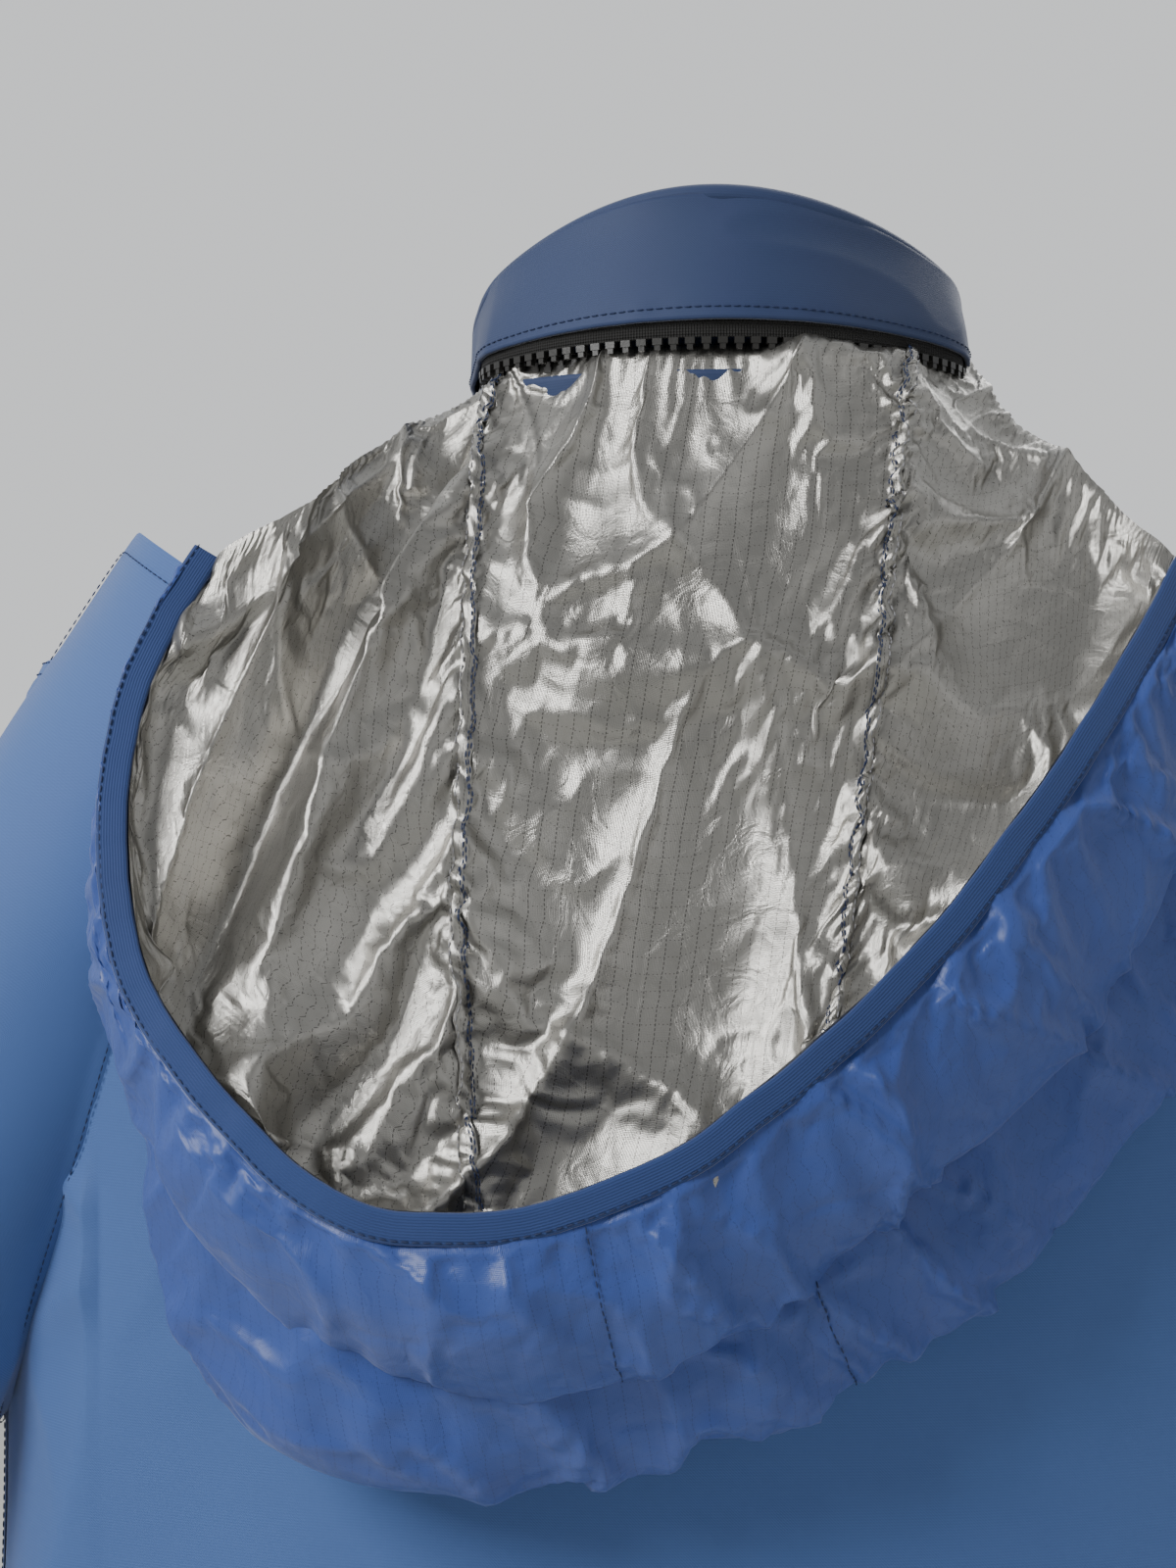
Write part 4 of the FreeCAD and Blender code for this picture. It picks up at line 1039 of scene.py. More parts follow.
@dataclass
class Collar:
    """The stand collar: a base, the flap that covers the hood's zip, a rolled top and an inner wall."""

    reach: float = math.radians(105)
    front_gap: float = math.radians(6.6)
    radius: float = 0.0829
    inner: float = 0.0735
    columns: int = 361

    def turn(self, reach: float | None = None, columns: int | None = None) -> Array:
        """Turns round the neck from the back, towards the wearer's left."""
        reach = math.pi - self.front_gap if reach is None else reach
        return np.linspace(reach, -reach, columns or self.columns)

    def wall(self, turn: Array, z: Array, radius: float) -> Array:
        """A point of the collar's wall: it flares a little, then leans in."""
        side = smooth(0.0, 0.03, z) * 0.0075 - smooth(0.035, 0.08, z) * 0.011
        back = smooth(0.0, 0.03, z) * 0.0025 - smooth(0.04, 0.08, z) * 0.006
        behind = self.behind(turn)
        wide = radius + side * behind
        deep = radius + back * behind
        return np.stack([wide * np.sin(turn), deep * np.cos(turn), z + 0 * turn], axis=-1)

    @staticmethod
    def behind(turn: Array) -> Array:
        """1 over the back, 0 at the sides, where the zip's slider runs."""
        return smooth(0.22, 0.60, np.cos(turn))

    def arch(self, turn: Array) -> Array:
        """1 at the middle of the back, 0 where the zip ends."""
        return np.cos(np.clip(turn / self.reach, -1, 1) * math.pi / 2) ** 1.4

    def top(self, turn: Array) -> Array:
        """The height of the top edge."""
        c = np.cos(turn)
        rise = np.where(c > 0, 0.030 * np.abs(c) ** 1.2, 0.021 * np.abs(c) ** 1.5)
        return 0.049 + rise + 0.0012 * np.sin(turn * 3 + 0.6)

    def base_top(self, turn: Array) -> Array:
        """The height of the base's upper edge."""
        return 0.0275 - 0.0035 * self.arch(turn)

    def flap_low(self, turn: Array) -> Array:
        """The height of the flap's lower edge."""
        return 0.0288 + 0.0100 * self.arch(turn)

    def strip(self, name: str, turn: Array, low: Array, high: Array, rows: int, radius: float, finish: Finish,
              standing: float = 0.0, wave: float = 0.0006) -> tuple:
        """A ring of cloth between two heights, as an outer face."""
        share = np.linspace(0, 1, rows)[:, None]
        z = mix(low[None], high[None], share)
        points = self.wall(np.broadcast_to(turn, z.shape), z, radius)
        out = unit(points * np.array([1.0, 1.0, 0.0]))
        drawn = value_noise(points, (0.03, 0.03, 0.05), 210) * wave * 2.2
        drawn += (ridges(points, (0.045, 0.045, 0.02), 214) - 0.4) * wave * 2.0
        drawn *= 0.1 + 0.9 * self.behind(turn)[None]
        stand = standing * (1 - share) ** 1.6 * self.arch(turn)[None]
        points = points + out * (drawn + stand)[..., None]
        return sheet_from(name, points, finish), points, out

    def build(self) -> list[Piece]:
        """Make the collar's pieces."""
        pieces = []
        full = self.turn()
        zip_turn = self.turn(self.reach, 301)
        base_top = self.base_top(full)
        base, grid, _ = self.strip("collar_base", full, 0.0004 + 0 * full, base_top, 17, self.radius, COLLAR)
        thicken(base, 1.4 * MM)
        declare_sheet(base, grid)
        pieces.append(Piece(base, "root", "collar_shell", ("collar_base",)))
        rows = 33
        flap, grid, out = self.strip("collar_flap", full, self.flap_low(full), self.top(full), rows,
                                     self.radius, COLLAR, standing=0.0042, wave=0.0008)
        seam = value_noise(grid, (0.007, 0.007, 0.03), 220) * 0.0004
        drawn = bump(np.linspace(0, 1, rows)[:, None] * 0.04, 0.003, 0.004)
        flap_points = grid + out * (seam * drawn)[..., None]
        flap.data.vertices.foreach_set("co", flap_points.reshape(-1))
        thicken(flap, 1.6 * MM)
        declare_sheet(flap, grid)
        pieces.append(Piece(flap, "root", "collar_shell", ("collar_flap",)))
        row = flap_points[3] + out[3] * 0.0011
        stitches = TOPSTITCH.along("collar_flap_stitches", [row[8:-8]], THREAD)
        pieces.append(Piece(stitches, "root", "collar_shell"))
        pieces += self.inside(full)
        pieces += self.zip(zip_turn)
        return pieces

    def inside(self, full: Array) -> list[Piece]:
        """The inner wall, the rolled top edge and the strip that carries the hood."""
        inner, grid, _ = self.strip("collar_inner", full, 0.0008 + 0 * full, self.top(full) - 0.0008, 25,
                                    self.inner, COLLAR, wave=0.0005)
        thicken(inner, 1.4 * MM)
        declare_sheet(inner, grid)
        high = self.top(full)
        outer = self.wall(full, high, self.radius)
        within = self.wall(full, high, self.inner)
        arc = np.linspace(0, math.pi, 13)[:, None, None]
        middle, reach = (outer + within) / 2, (outer - within) / 2
        roll = middle[None] + reach[None] * np.cos(arc) * 1.06 + np.array([0, 0, 0.0034]) * np.sin(arc)
        roll[0, :, 2] -= 0.002
        roll[-1, :, 2] -= 0.002
        edge = sheet_from("collar_top_edge", roll, COLLAR)
        thicken(edge, 1.0 * MM)
        declare_sheet(edge, roll)
        turn = self.turn(math.radians(66), 121)
        share = np.linspace(0, 1, 7)[:, None]
        radius = mix(self.inner + 0.0015, self.radius - 0.002, share)
        level = 0.0315 - 0.005 * share + 0 * turn
        strip = np.stack([radius * np.sin(turn), radius * np.cos(turn), level], axis=-1)
        band = sheet_from("hood_neck_strip", strip, HOOD_NYLON)
        declare_sheet(band, strip)
        return [Piece(inner, "root", "collar_shell", ("collar_inner",)),
                Piece(edge, "root", "collar_shell", ("collar_top_edge",)),
                Piece(band, "root", "hood_shell", ("hood_neck_strip",))]

    def zip(self, turn: Array) -> list[Piece]:
        """The two black tapes and their rows of teeth."""
        pieces = []
        low_edge = self.base_top(turn)
        behind = self.behind(turn)[None, :]
        flap_edge = self.flap_low(turn)
        gape = self.arch(turn)
        upper_edge = flap_edge - 0.0046 * gape - 0.0006
        for name, far, near, inset, tip in (
                ("upper", flap_edge + 0.007, upper_edge, 0.0030 - 0.0024 * behind, -1.0),
                ("lower", low_edge - 0.008, low_edge + 0.0016, 0.0032, 1.0)):
            low, high = np.minimum(far, near), np.maximum(far, near)
            share = np.linspace(0, 1, 9)[:, None]
            z = mix(low[None], high[None], share)
            points = self.wall(np.broadcast_to(turn, z.shape), z, self.radius - inset)
            out = unit(points * np.array([1.0, 1.0, 0.0]))
            if tip < 0:
                points = points + out * 0.0030 * gape[None, :, None]
            tape = sheet_from(f"collar_zip_tape_{name}", points, TAPE)
            thicken(tape, 0.9 * MM)
            declare_sheet(tape, points)
            pieces.append(Piece(tape, "root", "zip_tape", (f"collar_zip_tape_{name}",)))
            edge = points[0 if tip < 0 else -1] + np.array([0, 0, tip * 0.0010])
            teeth = CHAIN.along(f"collar_zip_teeth_{name}", [edge], TEETH, (0, 0, tip))
            pieces.append(Piece(teeth, "root", "zip_teeth", (f"collar_zip_teeth_{name}",)))
        return pieces


# ---- body

@dataclass
class Sleeve:
    """One sleeve's hung form: two tapering tubes that meet at the elbow, then the cuff."""

    side: int
    start: tuple = (0.168, 0.016, -0.102)
    upper: float = 0.330
    fore: float = 0.235
    cuff: float = 0.060
    lean: float = math.radians(34)
    fore_lean: float = math.radians(14)
    columns: int = 120
    split: float = 0.88
    radii: tuple = (0.068, 0.056, 0.044, 0.042)
    shoulder_x: tuple = (0.237, 0.286)
    shoulder_yz: tuple = (0.016, -0.10)

    @property
    def hand(self) -> str:
        """The wearer's side, as the frame names it."""
        return "left" if self.side > 0 else "right"

    def line(self, run: Array) -> tuple[Array, Array, Array]:
        """The centre line at a run from the shoulder: points, way down and way outwards."""
        run = np.asarray(run, float)
        fine = np.linspace(0, self.upper + self.fore + self.cuff + 0.01, 400)
        lean, here = (mix(self.lean, self.fore_lean, smooth(self.upper - 0.045, self.upper + 0.045, at))
                      for at in (fine, run))
        steps = np.diff(fine, prepend=0.0)
        x = self.start[0] + np.cumsum(np.sin(lean) * steps)
        z = self.start[2] - np.cumsum(np.cos(lean) * steps)
        before = np.minimum(run, 0.0)
        point = np.stack([self.side * (np.interp(run, fine, x) + before * math.sin(self.lean)),
                          np.full(run.shape, self.start[1]),
                          np.interp(run, fine, z) - before * math.cos(self.lean)], axis=-1)
        down = np.stack([self.side * np.sin(here), np.zeros(run.shape), -np.cos(here)], axis=-1)
        out = np.stack([self.side * np.cos(here), np.zeros(run.shape), np.sin(here)], axis=-1)
        return point, down, out

    def radius(self, run: Array) -> Array:
        """The sleeve's radius at a run from the shoulder."""
        stations = [0, self.upper, self.upper + self.fore, self.upper + self.fore + self.cuff]
        return np.interp(run, stations, self.radii)

    def surface(self, turn: Array, run: Array, extra: float = 0.0, folds: float = 1.0) -> Array:
        """A point on the sleeve, turn 0 outwards and 90 degrees at the back."""
        point, _, out = self.line(run)
        back = np.array([0.0, 1.0, 0.0])
        way = out * np.cos(turn)[..., None] + back * np.sin(turn)[..., None]
        mirror = np.array([self.side, 1, 1])
        place = point * mirror + way * mirror * 0.05
        slant = place + np.stack([0 * run, 0 * run, np.sin(turn) * 0.045], axis=-1)
        fold = 0.0042 * (ridges(slant, (0.12, 0.12, 0.055), 301) - 0.42)
        fold += 0.0026 * value_noise(slant, (0.09, 0.09, 0.10), 305)
        elbow = bump(run, self.upper, 0.06)
        fold += 0.0042 * elbow * (ridges(slant, (0.10, 0.10, 0.022), 311) - 0.4)
        gather = bump(run, self.upper + self.fore, 0.022) * 0.0014
        around = np.stack([np.cos(turn) * 2, np.sin(turn) * 2, run * 10], axis=-1)
        fold += gather * value_noise(around, 0.28, 317)
        ease = smooth(self.upper + self.fore + self.cuff, self.upper + self.fore - 0.02, run) * 0.85 + 0.15
        return point + way * (self.radius(run) + extra + folds * fold * ease)[..., None]

    def tube(self, turn: Array, runs: Array, extra: float = 0.0, folds: float = 1.0) -> Array:
        """A grid on the sleeve: a row for each run, a column for each turn."""
        return self.surface(*np.broadcast_arrays(turn, runs[:, None]), extra, folds)

    def armhole(self, torso: Torso, turn: Array) -> Array:
        """The run at which each line of the sleeve leaves the body."""
        runs = np.linspace(-0.05, 0.30, 351)
        grid = self.tube(turn, runs, folds=0)
        width, middle, depth = torso.at_level(np.minimum(grid[..., 2], 0.0))
        inside = (grid[..., 0] / width) ** 2 + ((grid[..., 1] - middle) / depth) ** 2 < 1
        last = np.where(inside.any(axis=0), len(runs) - 1 - np.argmax(inside[::-1], axis=0), 0)
        found = runs[last]
        for _ in range(6):
            found = (np.roll(found, 1) + 2 * found + np.roll(found, -1)) / 4
        return found

    def build(self, torso: Torso) -> list[Piece]:
        """Make the sleeve, its cuff and its tab."""
        hand, pieces = self.hand, []
        turn = np.linspace(0, 2 * math.pi, self.columns, endpoint=False)
        begin = self.armhole(torso, turn)
        middle = np.full(turn.shape, self.upper * self.split)
        share = np.linspace(0, 1, 61)[:, None]
        run = mix(begin[None] - 0.004, middle[None], share)
        around = np.broadcast_to(turn, run.shape)
        plain = self.surface(around, run, folds=0.0)
        set_in = smooth(0.0, 0.10, share)[..., None]
        cap = mix(plain, self.surface(around, run), 0.25 + 0.75 * set_in)
        flip = self.side < 0
        upper = sheet_from(f"sleeve_cap_{hand}", cap, SHELL, closed=True, flip=flip)
        declare_sheet(upper, plain, closed=True)
        arm = f"upper_sleeve_{hand}_body"
        shoulder = ("root", arm, *((self.side * x, *self.shoulder_yz) for x in self.shoulder_x))
        pieces.append(Piece(upper, arm, "body_shell", (f"upper_sleeve_{hand}",), shoulder))
        seam = self.surface(turn, begin + 0.0040, extra=0.0006, folds=0.25)
        ring = np.concatenate([seam, seam[:1]])
        row = TOPSTITCH.along(f"armhole_stitches_{hand}", [ring], THREAD)
        pieces.append(Piece(row, arm, "body_shell", (), shoulder))
        end = self.upper + self.fore
        run = np.linspace(self.upper * self.split, end + 0.004, 111)
        lower = sheet_from(f"sleeve_lower_{hand}", self.tube(turn, run), SHELL, closed=True, flip=flip)
        declare_sheet(lower, self.tube(turn, run, folds=0.0), closed=True)
        elbow, _, _ = self.line(np.array([self.upper - 0.03, self.upper + 0.06]))
        forearm = f"forearm_{hand}_body"
        pieces.append(Piece(lower, forearm, "body_shell", (f"forearm_sleeve_{hand}",),
                            (arm, forearm, *map(tuple, elbow))))
        pieces += self.cuffs(turn, end)
        return pieces

    def cuffs(self, turn: Array, end: float) -> list[Piece]:
        """The turned-up cuff with its stitch rows, and the hook-and-loop tab."""
        hand, body = self.hand, f"forearm_{self.hand}_body"
        flip = self.side < 0
        outer = self.tube(turn, np.linspace(end, end + self.cuff, 25), extra=0.0006)
        centre = self.line(np.array([end + self.cuff]))[0]
        turned = outer[-1:] + (centre - outer[-1:]) * np.array([0.02, 0.05])[:, None, None]
        turned[0] += self.line(np.array([end]))[1] * 0.0016
        inside = self.tube(turn, np.linspace(end + self.cuff - 0.001, end + 0.02, 9), extra=-0.0028)
        grid = np.concatenate([outer, turned, inside])
        cuff = sheet_from(f"cuff_turned_{hand}", grid, SHELL, closed=True, flip=flip)
        declare_sheet(cuff, grid, closed=True)
        rows = [self.surface(turn, np.full(turn.shape, spot), extra=0.0012) for spot in
                (end + 0.004, end + 0.0105, end + self.cuff - 0.005, end + self.cuff - 0.0115)]
        rings = [np.concatenate([row, row[:1]]) for row in rows]
        stitches = TOPSTITCH.along(f"cuff_stitches_{hand}", rings, THREAD)
        reach = 0.035 / 0.0455
        flat = np.linspace(-reach, reach, 41)
        wide = np.linspace(-0.016, 0.016, 19)
        round_off = np.clip(1 - (np.abs(flat / reach) ** 6), 0, 1) ** 0.5
        spot = end + self.cuff / 2 + wide[:, None] * (0.80 + 0.20 * round_off[None])
        strap = self.surface(np.broadcast_to(flat, spot.shape), spot, extra=0.0028, folds=0.3)
        tab = sheet_from(f"tab_strap_{hand}", strap, HOOK_LOOP, flip=flip)
        thicken(tab, 1.8 * MM)
        declare_sheet(tab, strap)
        edge = np.concatenate([strap[2, 3:-3], strap[2:-2, -4], strap[-3, -4:3:-1], strap[-3:2:-1, 3]])
        lift = edge - self.line(np.full(len(edge), end + self.cuff / 2))[0]
        held = edge + unit(lift) * 0.0010
        tab_row = TOPSTITCH.along(f"tab_stitches_{hand}", [held], THREAD)
        tab_body = f"cuff_tab_{hand}_body"
        return [Piece(cuff, body, replaces=(f"cuff_{hand}",)), Piece(stitches, body),
                Piece(tab, tab_body, "hook_loop", (f"cuff_tab_{hand}",)),
                Piece(tab_row, tab_body, "hook_loop")]


@dataclass
class Body:
    """Back, yoke, fronts, hem and what is sewn on them."""

    torso: Torso
    sleeves: tuple[Sleeve, ...]
    tape_half: float = 0.010
    pocket_x: float = 0.150
    pocket_low: float = -0.590
    pocket_high: float = -0.430
    slot: float = 0.006
    welt_half: float = 0.0085
    welt_over: float = 0.0045

    def folded(self, angle: Array, z: Array, inset: float = 0.0) -> Array:
        """The torso's surface with the folds that it hangs in."""
        torso = self.torso
        place = torso.point(angle, z)
        width, middle, depth = torso.at_level(z)
        normal = unit(np.stack([np.cos(angle) / width, np.sin(angle) / depth, 0 * z], axis=-1))
        slant = np.stack([place[..., 0] + place[..., 2] * 0.42 * np.tanh(place[..., 0] / 0.09), place[..., 1],
                          place[..., 2]], axis=-1)
        lift = 0.0085 * (ridges(slant, (0.105, 0.2, 0.42), 401) - 0.62)
        lift += 0.0050 * value_noise(place, (0.13, 0.2, 0.24), 405)
        lift += 0.0035 * (ridges(slant, (0.06, 0.1, 0.16), 411) - 0.6)
        x, back = place[..., 0], np.sin(angle) > 0
        armpit = bump(np.abs(x), 0.215, 0.05) * bump(z, -0.24, 0.07)
        lift += 0.005 * armpit * (ridges(slant, (0.05, 0.05, 0.035), 421) - 0.5)
        behind_hood = back & (np.abs(x) < 0.20) & (z > -0.36)
        lift = np.where(behind_hood, np.minimum(lift, 0.0) - 0.0005, np.minimum(lift, 0.006))
        quiet = smooth(0.012, 0.045, np.abs(x)) + back
        pocket = bump(np.abs(x), self.pocket_x, 0.030) * smooth(-0.62, -0.60, z) * smooth(-0.40, -0.42, z)
        bag = smooth(0.0, -0.05, place[..., 1]) * smooth(-0.36, -0.41, z)
        lift = np.where(back, lift, mix(lift, np.maximum(lift, -0.0012), bag))
        quiet = np.clip(quiet, 0, 1) * (1 - 0.92 * np.where(back, 0, pocket))
        quiet = quiet * smooth(0.0, -0.05, z) * (0.35 + 0.65 * smooth(torso.hem_z, torso.hem_z + 0.08, z))
        quiet = quiet * (0.25 + 0.75 * smooth(0.0, 0.02, np.abs(place[..., 1] - middle)))
        return place + normal * (lift * quiet - inset)[..., None]

    def outside_sleeves(self, points: Array) -> Array:
        """Which cells of a grid aren't in an armhole."""
        centre = (points[:-1, :-1] + points[1:, 1:]) / 2
        stay = np.ones(centre.shape[:2], bool)
        for sleeve in self.sleeves:
            way = np.array([sleeve.side * math.sin(sleeve.lean), 0, -math.cos(sleeve.lean)])
            offset = centre - np.array(sleeve.start) * np.array([sleeve.side, 1, 1])
            run = offset @ way
            away = np.linalg.norm(offset - run[..., None] * way, axis=-1)
            stay &= ~((away < sleeve.radius(run) - 0.005) & (run > 0))
        return stay

    @staticmethod
    def seam(name: str, points: Array, up: Array, width: float = 0.0070) -> list[Piece]:
        """A flat-felled seam: a doubled strip and its two rows of stitches."""
        across = unit(np.cross(up, np.gradient(points, axis=0)))
        share = np.linspace(-0.5, 0.5, 7)
        crown = 0.0007 * (1 - (2 * share) ** 6)
        strip = points[:, None] + across[:, None] * (share * width)[None, :, None] + up[:, None] * (
            crown + 0.0002)[None, :, None]
        felled = sheet_from(name, strip, SHELL)
        rows = [points + across * width * s + up * 0.0011 for s in (-0.30, 0.30)]
        stitches = TOPSTITCH.along(f"{name}_stitches", rows, THREAD)
        return [Piece(felled), Piece(stitches)]

    def build(self) -> list[Piece]:
        """Make the body's pieces."""
        torso, pieces = self.torso, []
        angle = np.linspace(0, math.pi, 201)[None, :]
        z = np.linspace(torso.hem_top - 0.001, torso.yoke_z, 161)[:, None]
        pieces += self.panel("back_panel", angle, z, ("back_panel",))
        z = np.linspace(torso.yoke_z, 0.0, 41)[:, None]
        pieces += self.panel("back_yoke", angle, z, ("back_yoke",))
        for side, hand in ((1, "left"), (-1, "right")):
            pieces += self.front(side, hand)
        pieces += self.hem()
        line = self.folded(angle, np.full(angle.shape, torso.yoke_z))[0]
        stay = self.outside_sleeves(np.stack([line, line + [0, 0, 0.001]]))[0]
        ends = np.nonzero(stay)[0]
        up = unit(np.stack([np.cos(angle[0]) * 0.5, np.sin(angle[0]), np.full(201, 0.25)], axis=-1))
        pieces += self.seam("yoke_seam", line[ends[0]:ends[-1]], up[ends[0]:ends[-1]])
        for side, hand in ((1, "left"), (-1, "right")):
            turned = 0.0 if side > 0 else math.pi
            for name, low, high, count, way in (("side", torso.hem_top, -0.262, 140, [float(side), 0, 0]),
                                                ("shoulder", -0.054, -0.002, 50, [side * 0.32, 0, 0.95])):
                path = self.folded(np.full(count, turned), np.linspace(low, high, count))
                pieces += self.seam(f"{name}_seam_{hand}", path, np.tile(way, (count, 1)))
        return pieces

    def panel(self, name: str, angle: Array, z: Array, replaced: tuple) -> list[Piece]:
        """A panel of the body between two angles and two heights."""
        angle, z = np.broadcast_arrays(angle, z)
        grid = self.folded(angle, z)
        cut = self.torso.point(angle, z)
        stay = self.outside_sleeves(cut)
        thing = sheet_from(name, grid, SHELL, keep=stay, flip=True)
        declare_cut(thing, cut, float(cell_areas(cut)[stay].sum()))
        return [Piece(thing, "root", "body_shell", replaced)]

    def front(self, side: int, hand: str) -> list[Piece]:
        """One front, with its pocket mouth."""
        torso = self.torso
        edges = np.concatenate([np.linspace(self.tape_half, self.pocket_x - self.slot, 44),
                                np.linspace(self.pocket_x - self.slot, self.pocket_x + self.slot, 5)[1:]])
        shares = np.concatenate([np.arcsin(edges / torso.half), np.linspace(
            math.asin((self.pocket_x + self.slot) / torso.half), math.pi / 2, 46)[1:]])
        shares = (shares - shares[0]) / (math.pi / 2 - shares[0])
        z = np.concatenate([np.linspace(torso.hem_top - 0.001, self.pocket_low, 20),
                            np.linspace(self.pocket_low, self.pocket_high, 41)[1:],
                            np.linspace(self.pocket_high, 0.0, 111)[1:]])[:, None]
        width, _, _ = torso.at_level(z)
        start = np.arcsin(self.tape_half / width)
        from_front = mix(start, math.pi / 2, shares[None, :])
        angle = from_front - math.pi / 2 if side > 0 else -math.pi / 2 - from_front
        angle, z = np.broadcast_arrays(angle, z)
        grid, plain = self.folded(angle, z), torso.point(angle, z)
        stay = self.outside_sleeves(plain)
        middle = (grid[:-1, :-1] + grid[1:, 1:]) / 2
        gap = (np.abs(np.abs(plain[:-1, :-1, 0] + plain[1:, 1:, 0]) / 2 - self.pocket_x) < self.slot)
        stay &= ~(gap & (middle[..., 2] > self.pocket_low) & (middle[..., 2] < self.pocket_high))
        thing = sheet_from(f"front_panel_{hand}", grid, SHELL, keep=stay, flip=side > 0)
        declare_cut(thing, plain, float(cell_areas(plain)[stay].sum()))
        pieces = [Piece(thing, "root", "body_shell", (f"front_panel_{hand}",))]
        edge = grid[:, 0] + np.array([side * 0.0035, -0.0006, 0])
        pieces.append(Piece(TOPSTITCH.along(f"front_edge_stitches_{hand}", [edge], THREAD, (0, -1, 0))))
        return pieces + self.pocket(side, hand)

    def at_pocket(self, side: int, across: Array, z: Array, out: float = 0.0) -> Array:
        """A point beside the pocket zip: across the zip outwards, in the plane of the front."""
        torso = self.torso
        _, middle, depth = torso.at_level(np.array(self.pocket_low))
        here = math.sqrt(1 - (self.pocket_x / torso.half) ** 2)
        slope = math.atan(depth * self.pocket_x / torso.half ** 2 / here)
        y = middle - depth * here
        across, z = np.broadcast_arrays(across, z)
        return np.stack([side * (self.pocket_x + across * math.cos(slope) + out * math.sin(slope)),
                         y + across * math.sin(slope) - out * math.cos(slope), z], axis=-1)

    def pocket(self, side: int, hand: str) -> list[Piece]:
        """The zip, the welt round it and the bag behind it."""
        pieces, low, high = [], self.pocket_low, self.pocket_high
        rows = np.linspace(low - 0.004, high + 0.004, 60)
        zero = np.array([0.0])
        origin = self.at_pocket(side, zero, zero)[0]
        out = self.at_pocket(side, zero, zero, 1.0)[0] - origin
        toward = self.at_pocket(side, zero + 1.0, zero)[0] - origin
        for sign, name in ((1, "outer"), (-1, "inner")):
            across = np.linspace(sign * 0.0026, sign * 0.010, 8)[None, :]
            depth = 0.0011 - 0.0022 * smooth(0.0045, 0.0065, np.abs(across))
            grid = self.at_pocket(side, across, rows[:, None], depth)
            tape = sheet_from(f"pocket_tape_{name}_{hand}", grid, TAPE)
            thicken(tape, 0.7 * MM)
            replaced = (f"pocket_zip_tape_{hand}", f"pocket_zip_teeth_{hand}") if sign > 0 else ()
            pieces.append(Piece(tape, "root", "zip_tape", replaced))
            shift = 0.0025 if sign > 0 else 0.0
            level = np.linspace(low + shift, high, 60)
            line = self.at_pocket(side, np.full(60, sign * 0.0012), level, 0.0012)
            teeth = CHAIN.along(f"pocket_teeth_{name}_{hand}", [line], TEETH, -toward * sign)
            pieces.append(Piece(teeth, "root", "zip_teeth"))
        half, below, above = self.welt_half, low - self.welt_over, high + self.welt_over
        loop = [(-half, below), (-half, above), (half, above), (half, below)]
        path = np.concatenate([np.linspace(loop[k], loop[(k + 1) % 4], 40, endpoint=False) for k in range(4)])
        for _ in range(2):
            path = (np.roll(path, 1, axis=0) + 2 * path + np.roll(path, -1, axis=0)) / 4
        line = self.at_pocket(side, path[:, 0], path[:, 1], 0.0014)
        welt = sweep(f"pocket_welt_{hand}", line, np.tile(out, (len(line), 1)),
                     flat_loop(0.0060, 0.0014)[:, ::-1], SHELL, loop=True)
        row = self.at_pocket(side, path[:, 0], path[:, 1], 0.0024)
        stitches = TOPSTITCH.along(f"pocket_stitches_{hand}", [np.concatenate([row, row[:1]])], THREAD, out)
        return pieces + [Piece(welt), Piece(stitches), self.bag(side, hand)]

    def bag(self, side: int, hand: str) -> Piece:
        """The pocket bag: a flat taffeta pouch behind the front."""
        torso = self.torso
        turn = np.linspace(0, 2 * math.pi, 97)[:-1][None, :]
        z = np.linspace(self.pocket_low - 0.060, self.pocket_high - 0.001, 61)[:, None]
        middle_x, half = self.pocket_x - 0.051, 0.058
        flat = np.sign(np.cos(turn)) * np.abs(np.cos(turn)) ** 0.35
        x = middle_x + half * flat * (0.94 + 0.06 * smooth(0, 0.03, z - z[0, 0]))
        _, middle, depth = torso.at_level(z)
        front = middle - depth * np.sqrt(1 - (x / torso.half) ** 2)
        belly = smooth(0, 0.05, z - z[0, 0]) * smooth(0, 0.02, z[-1, 0] - z + 0.004)
        away = 0.0100 - 0.0052 * np.sign(np.sin(turn)) * np.abs(np.sin(turn)) ** 0.3 * (0.15 + 0.85 * belly)
        grid = np.stack([side * x, front + away, z + 0 * x], axis=-1)
        grid[..., 1] += np.where(np.sin(turn) < 0, 0.0015 * value_noise(grid, 0.04, 431) * belly, 0)
        centre = (grid[:-1] + grid[1:]) / 2
        beside = np.abs(np.abs(centre[..., 0]) - self.pocket_x) < self.slot
        mouth = (np.sin(turn) > 0) & beside & (centre[..., 2] > self.pocket_low)
        thing = sheet_from(f"pocket_bag_{hand}", grid, TAFFETA, closed=True, keep=~mouth)
        declare_sheet(thing, grid, closed=True)
        return Piece(thing, "root", "pocket_cloth", (f"pocket_bag_{hand}",))

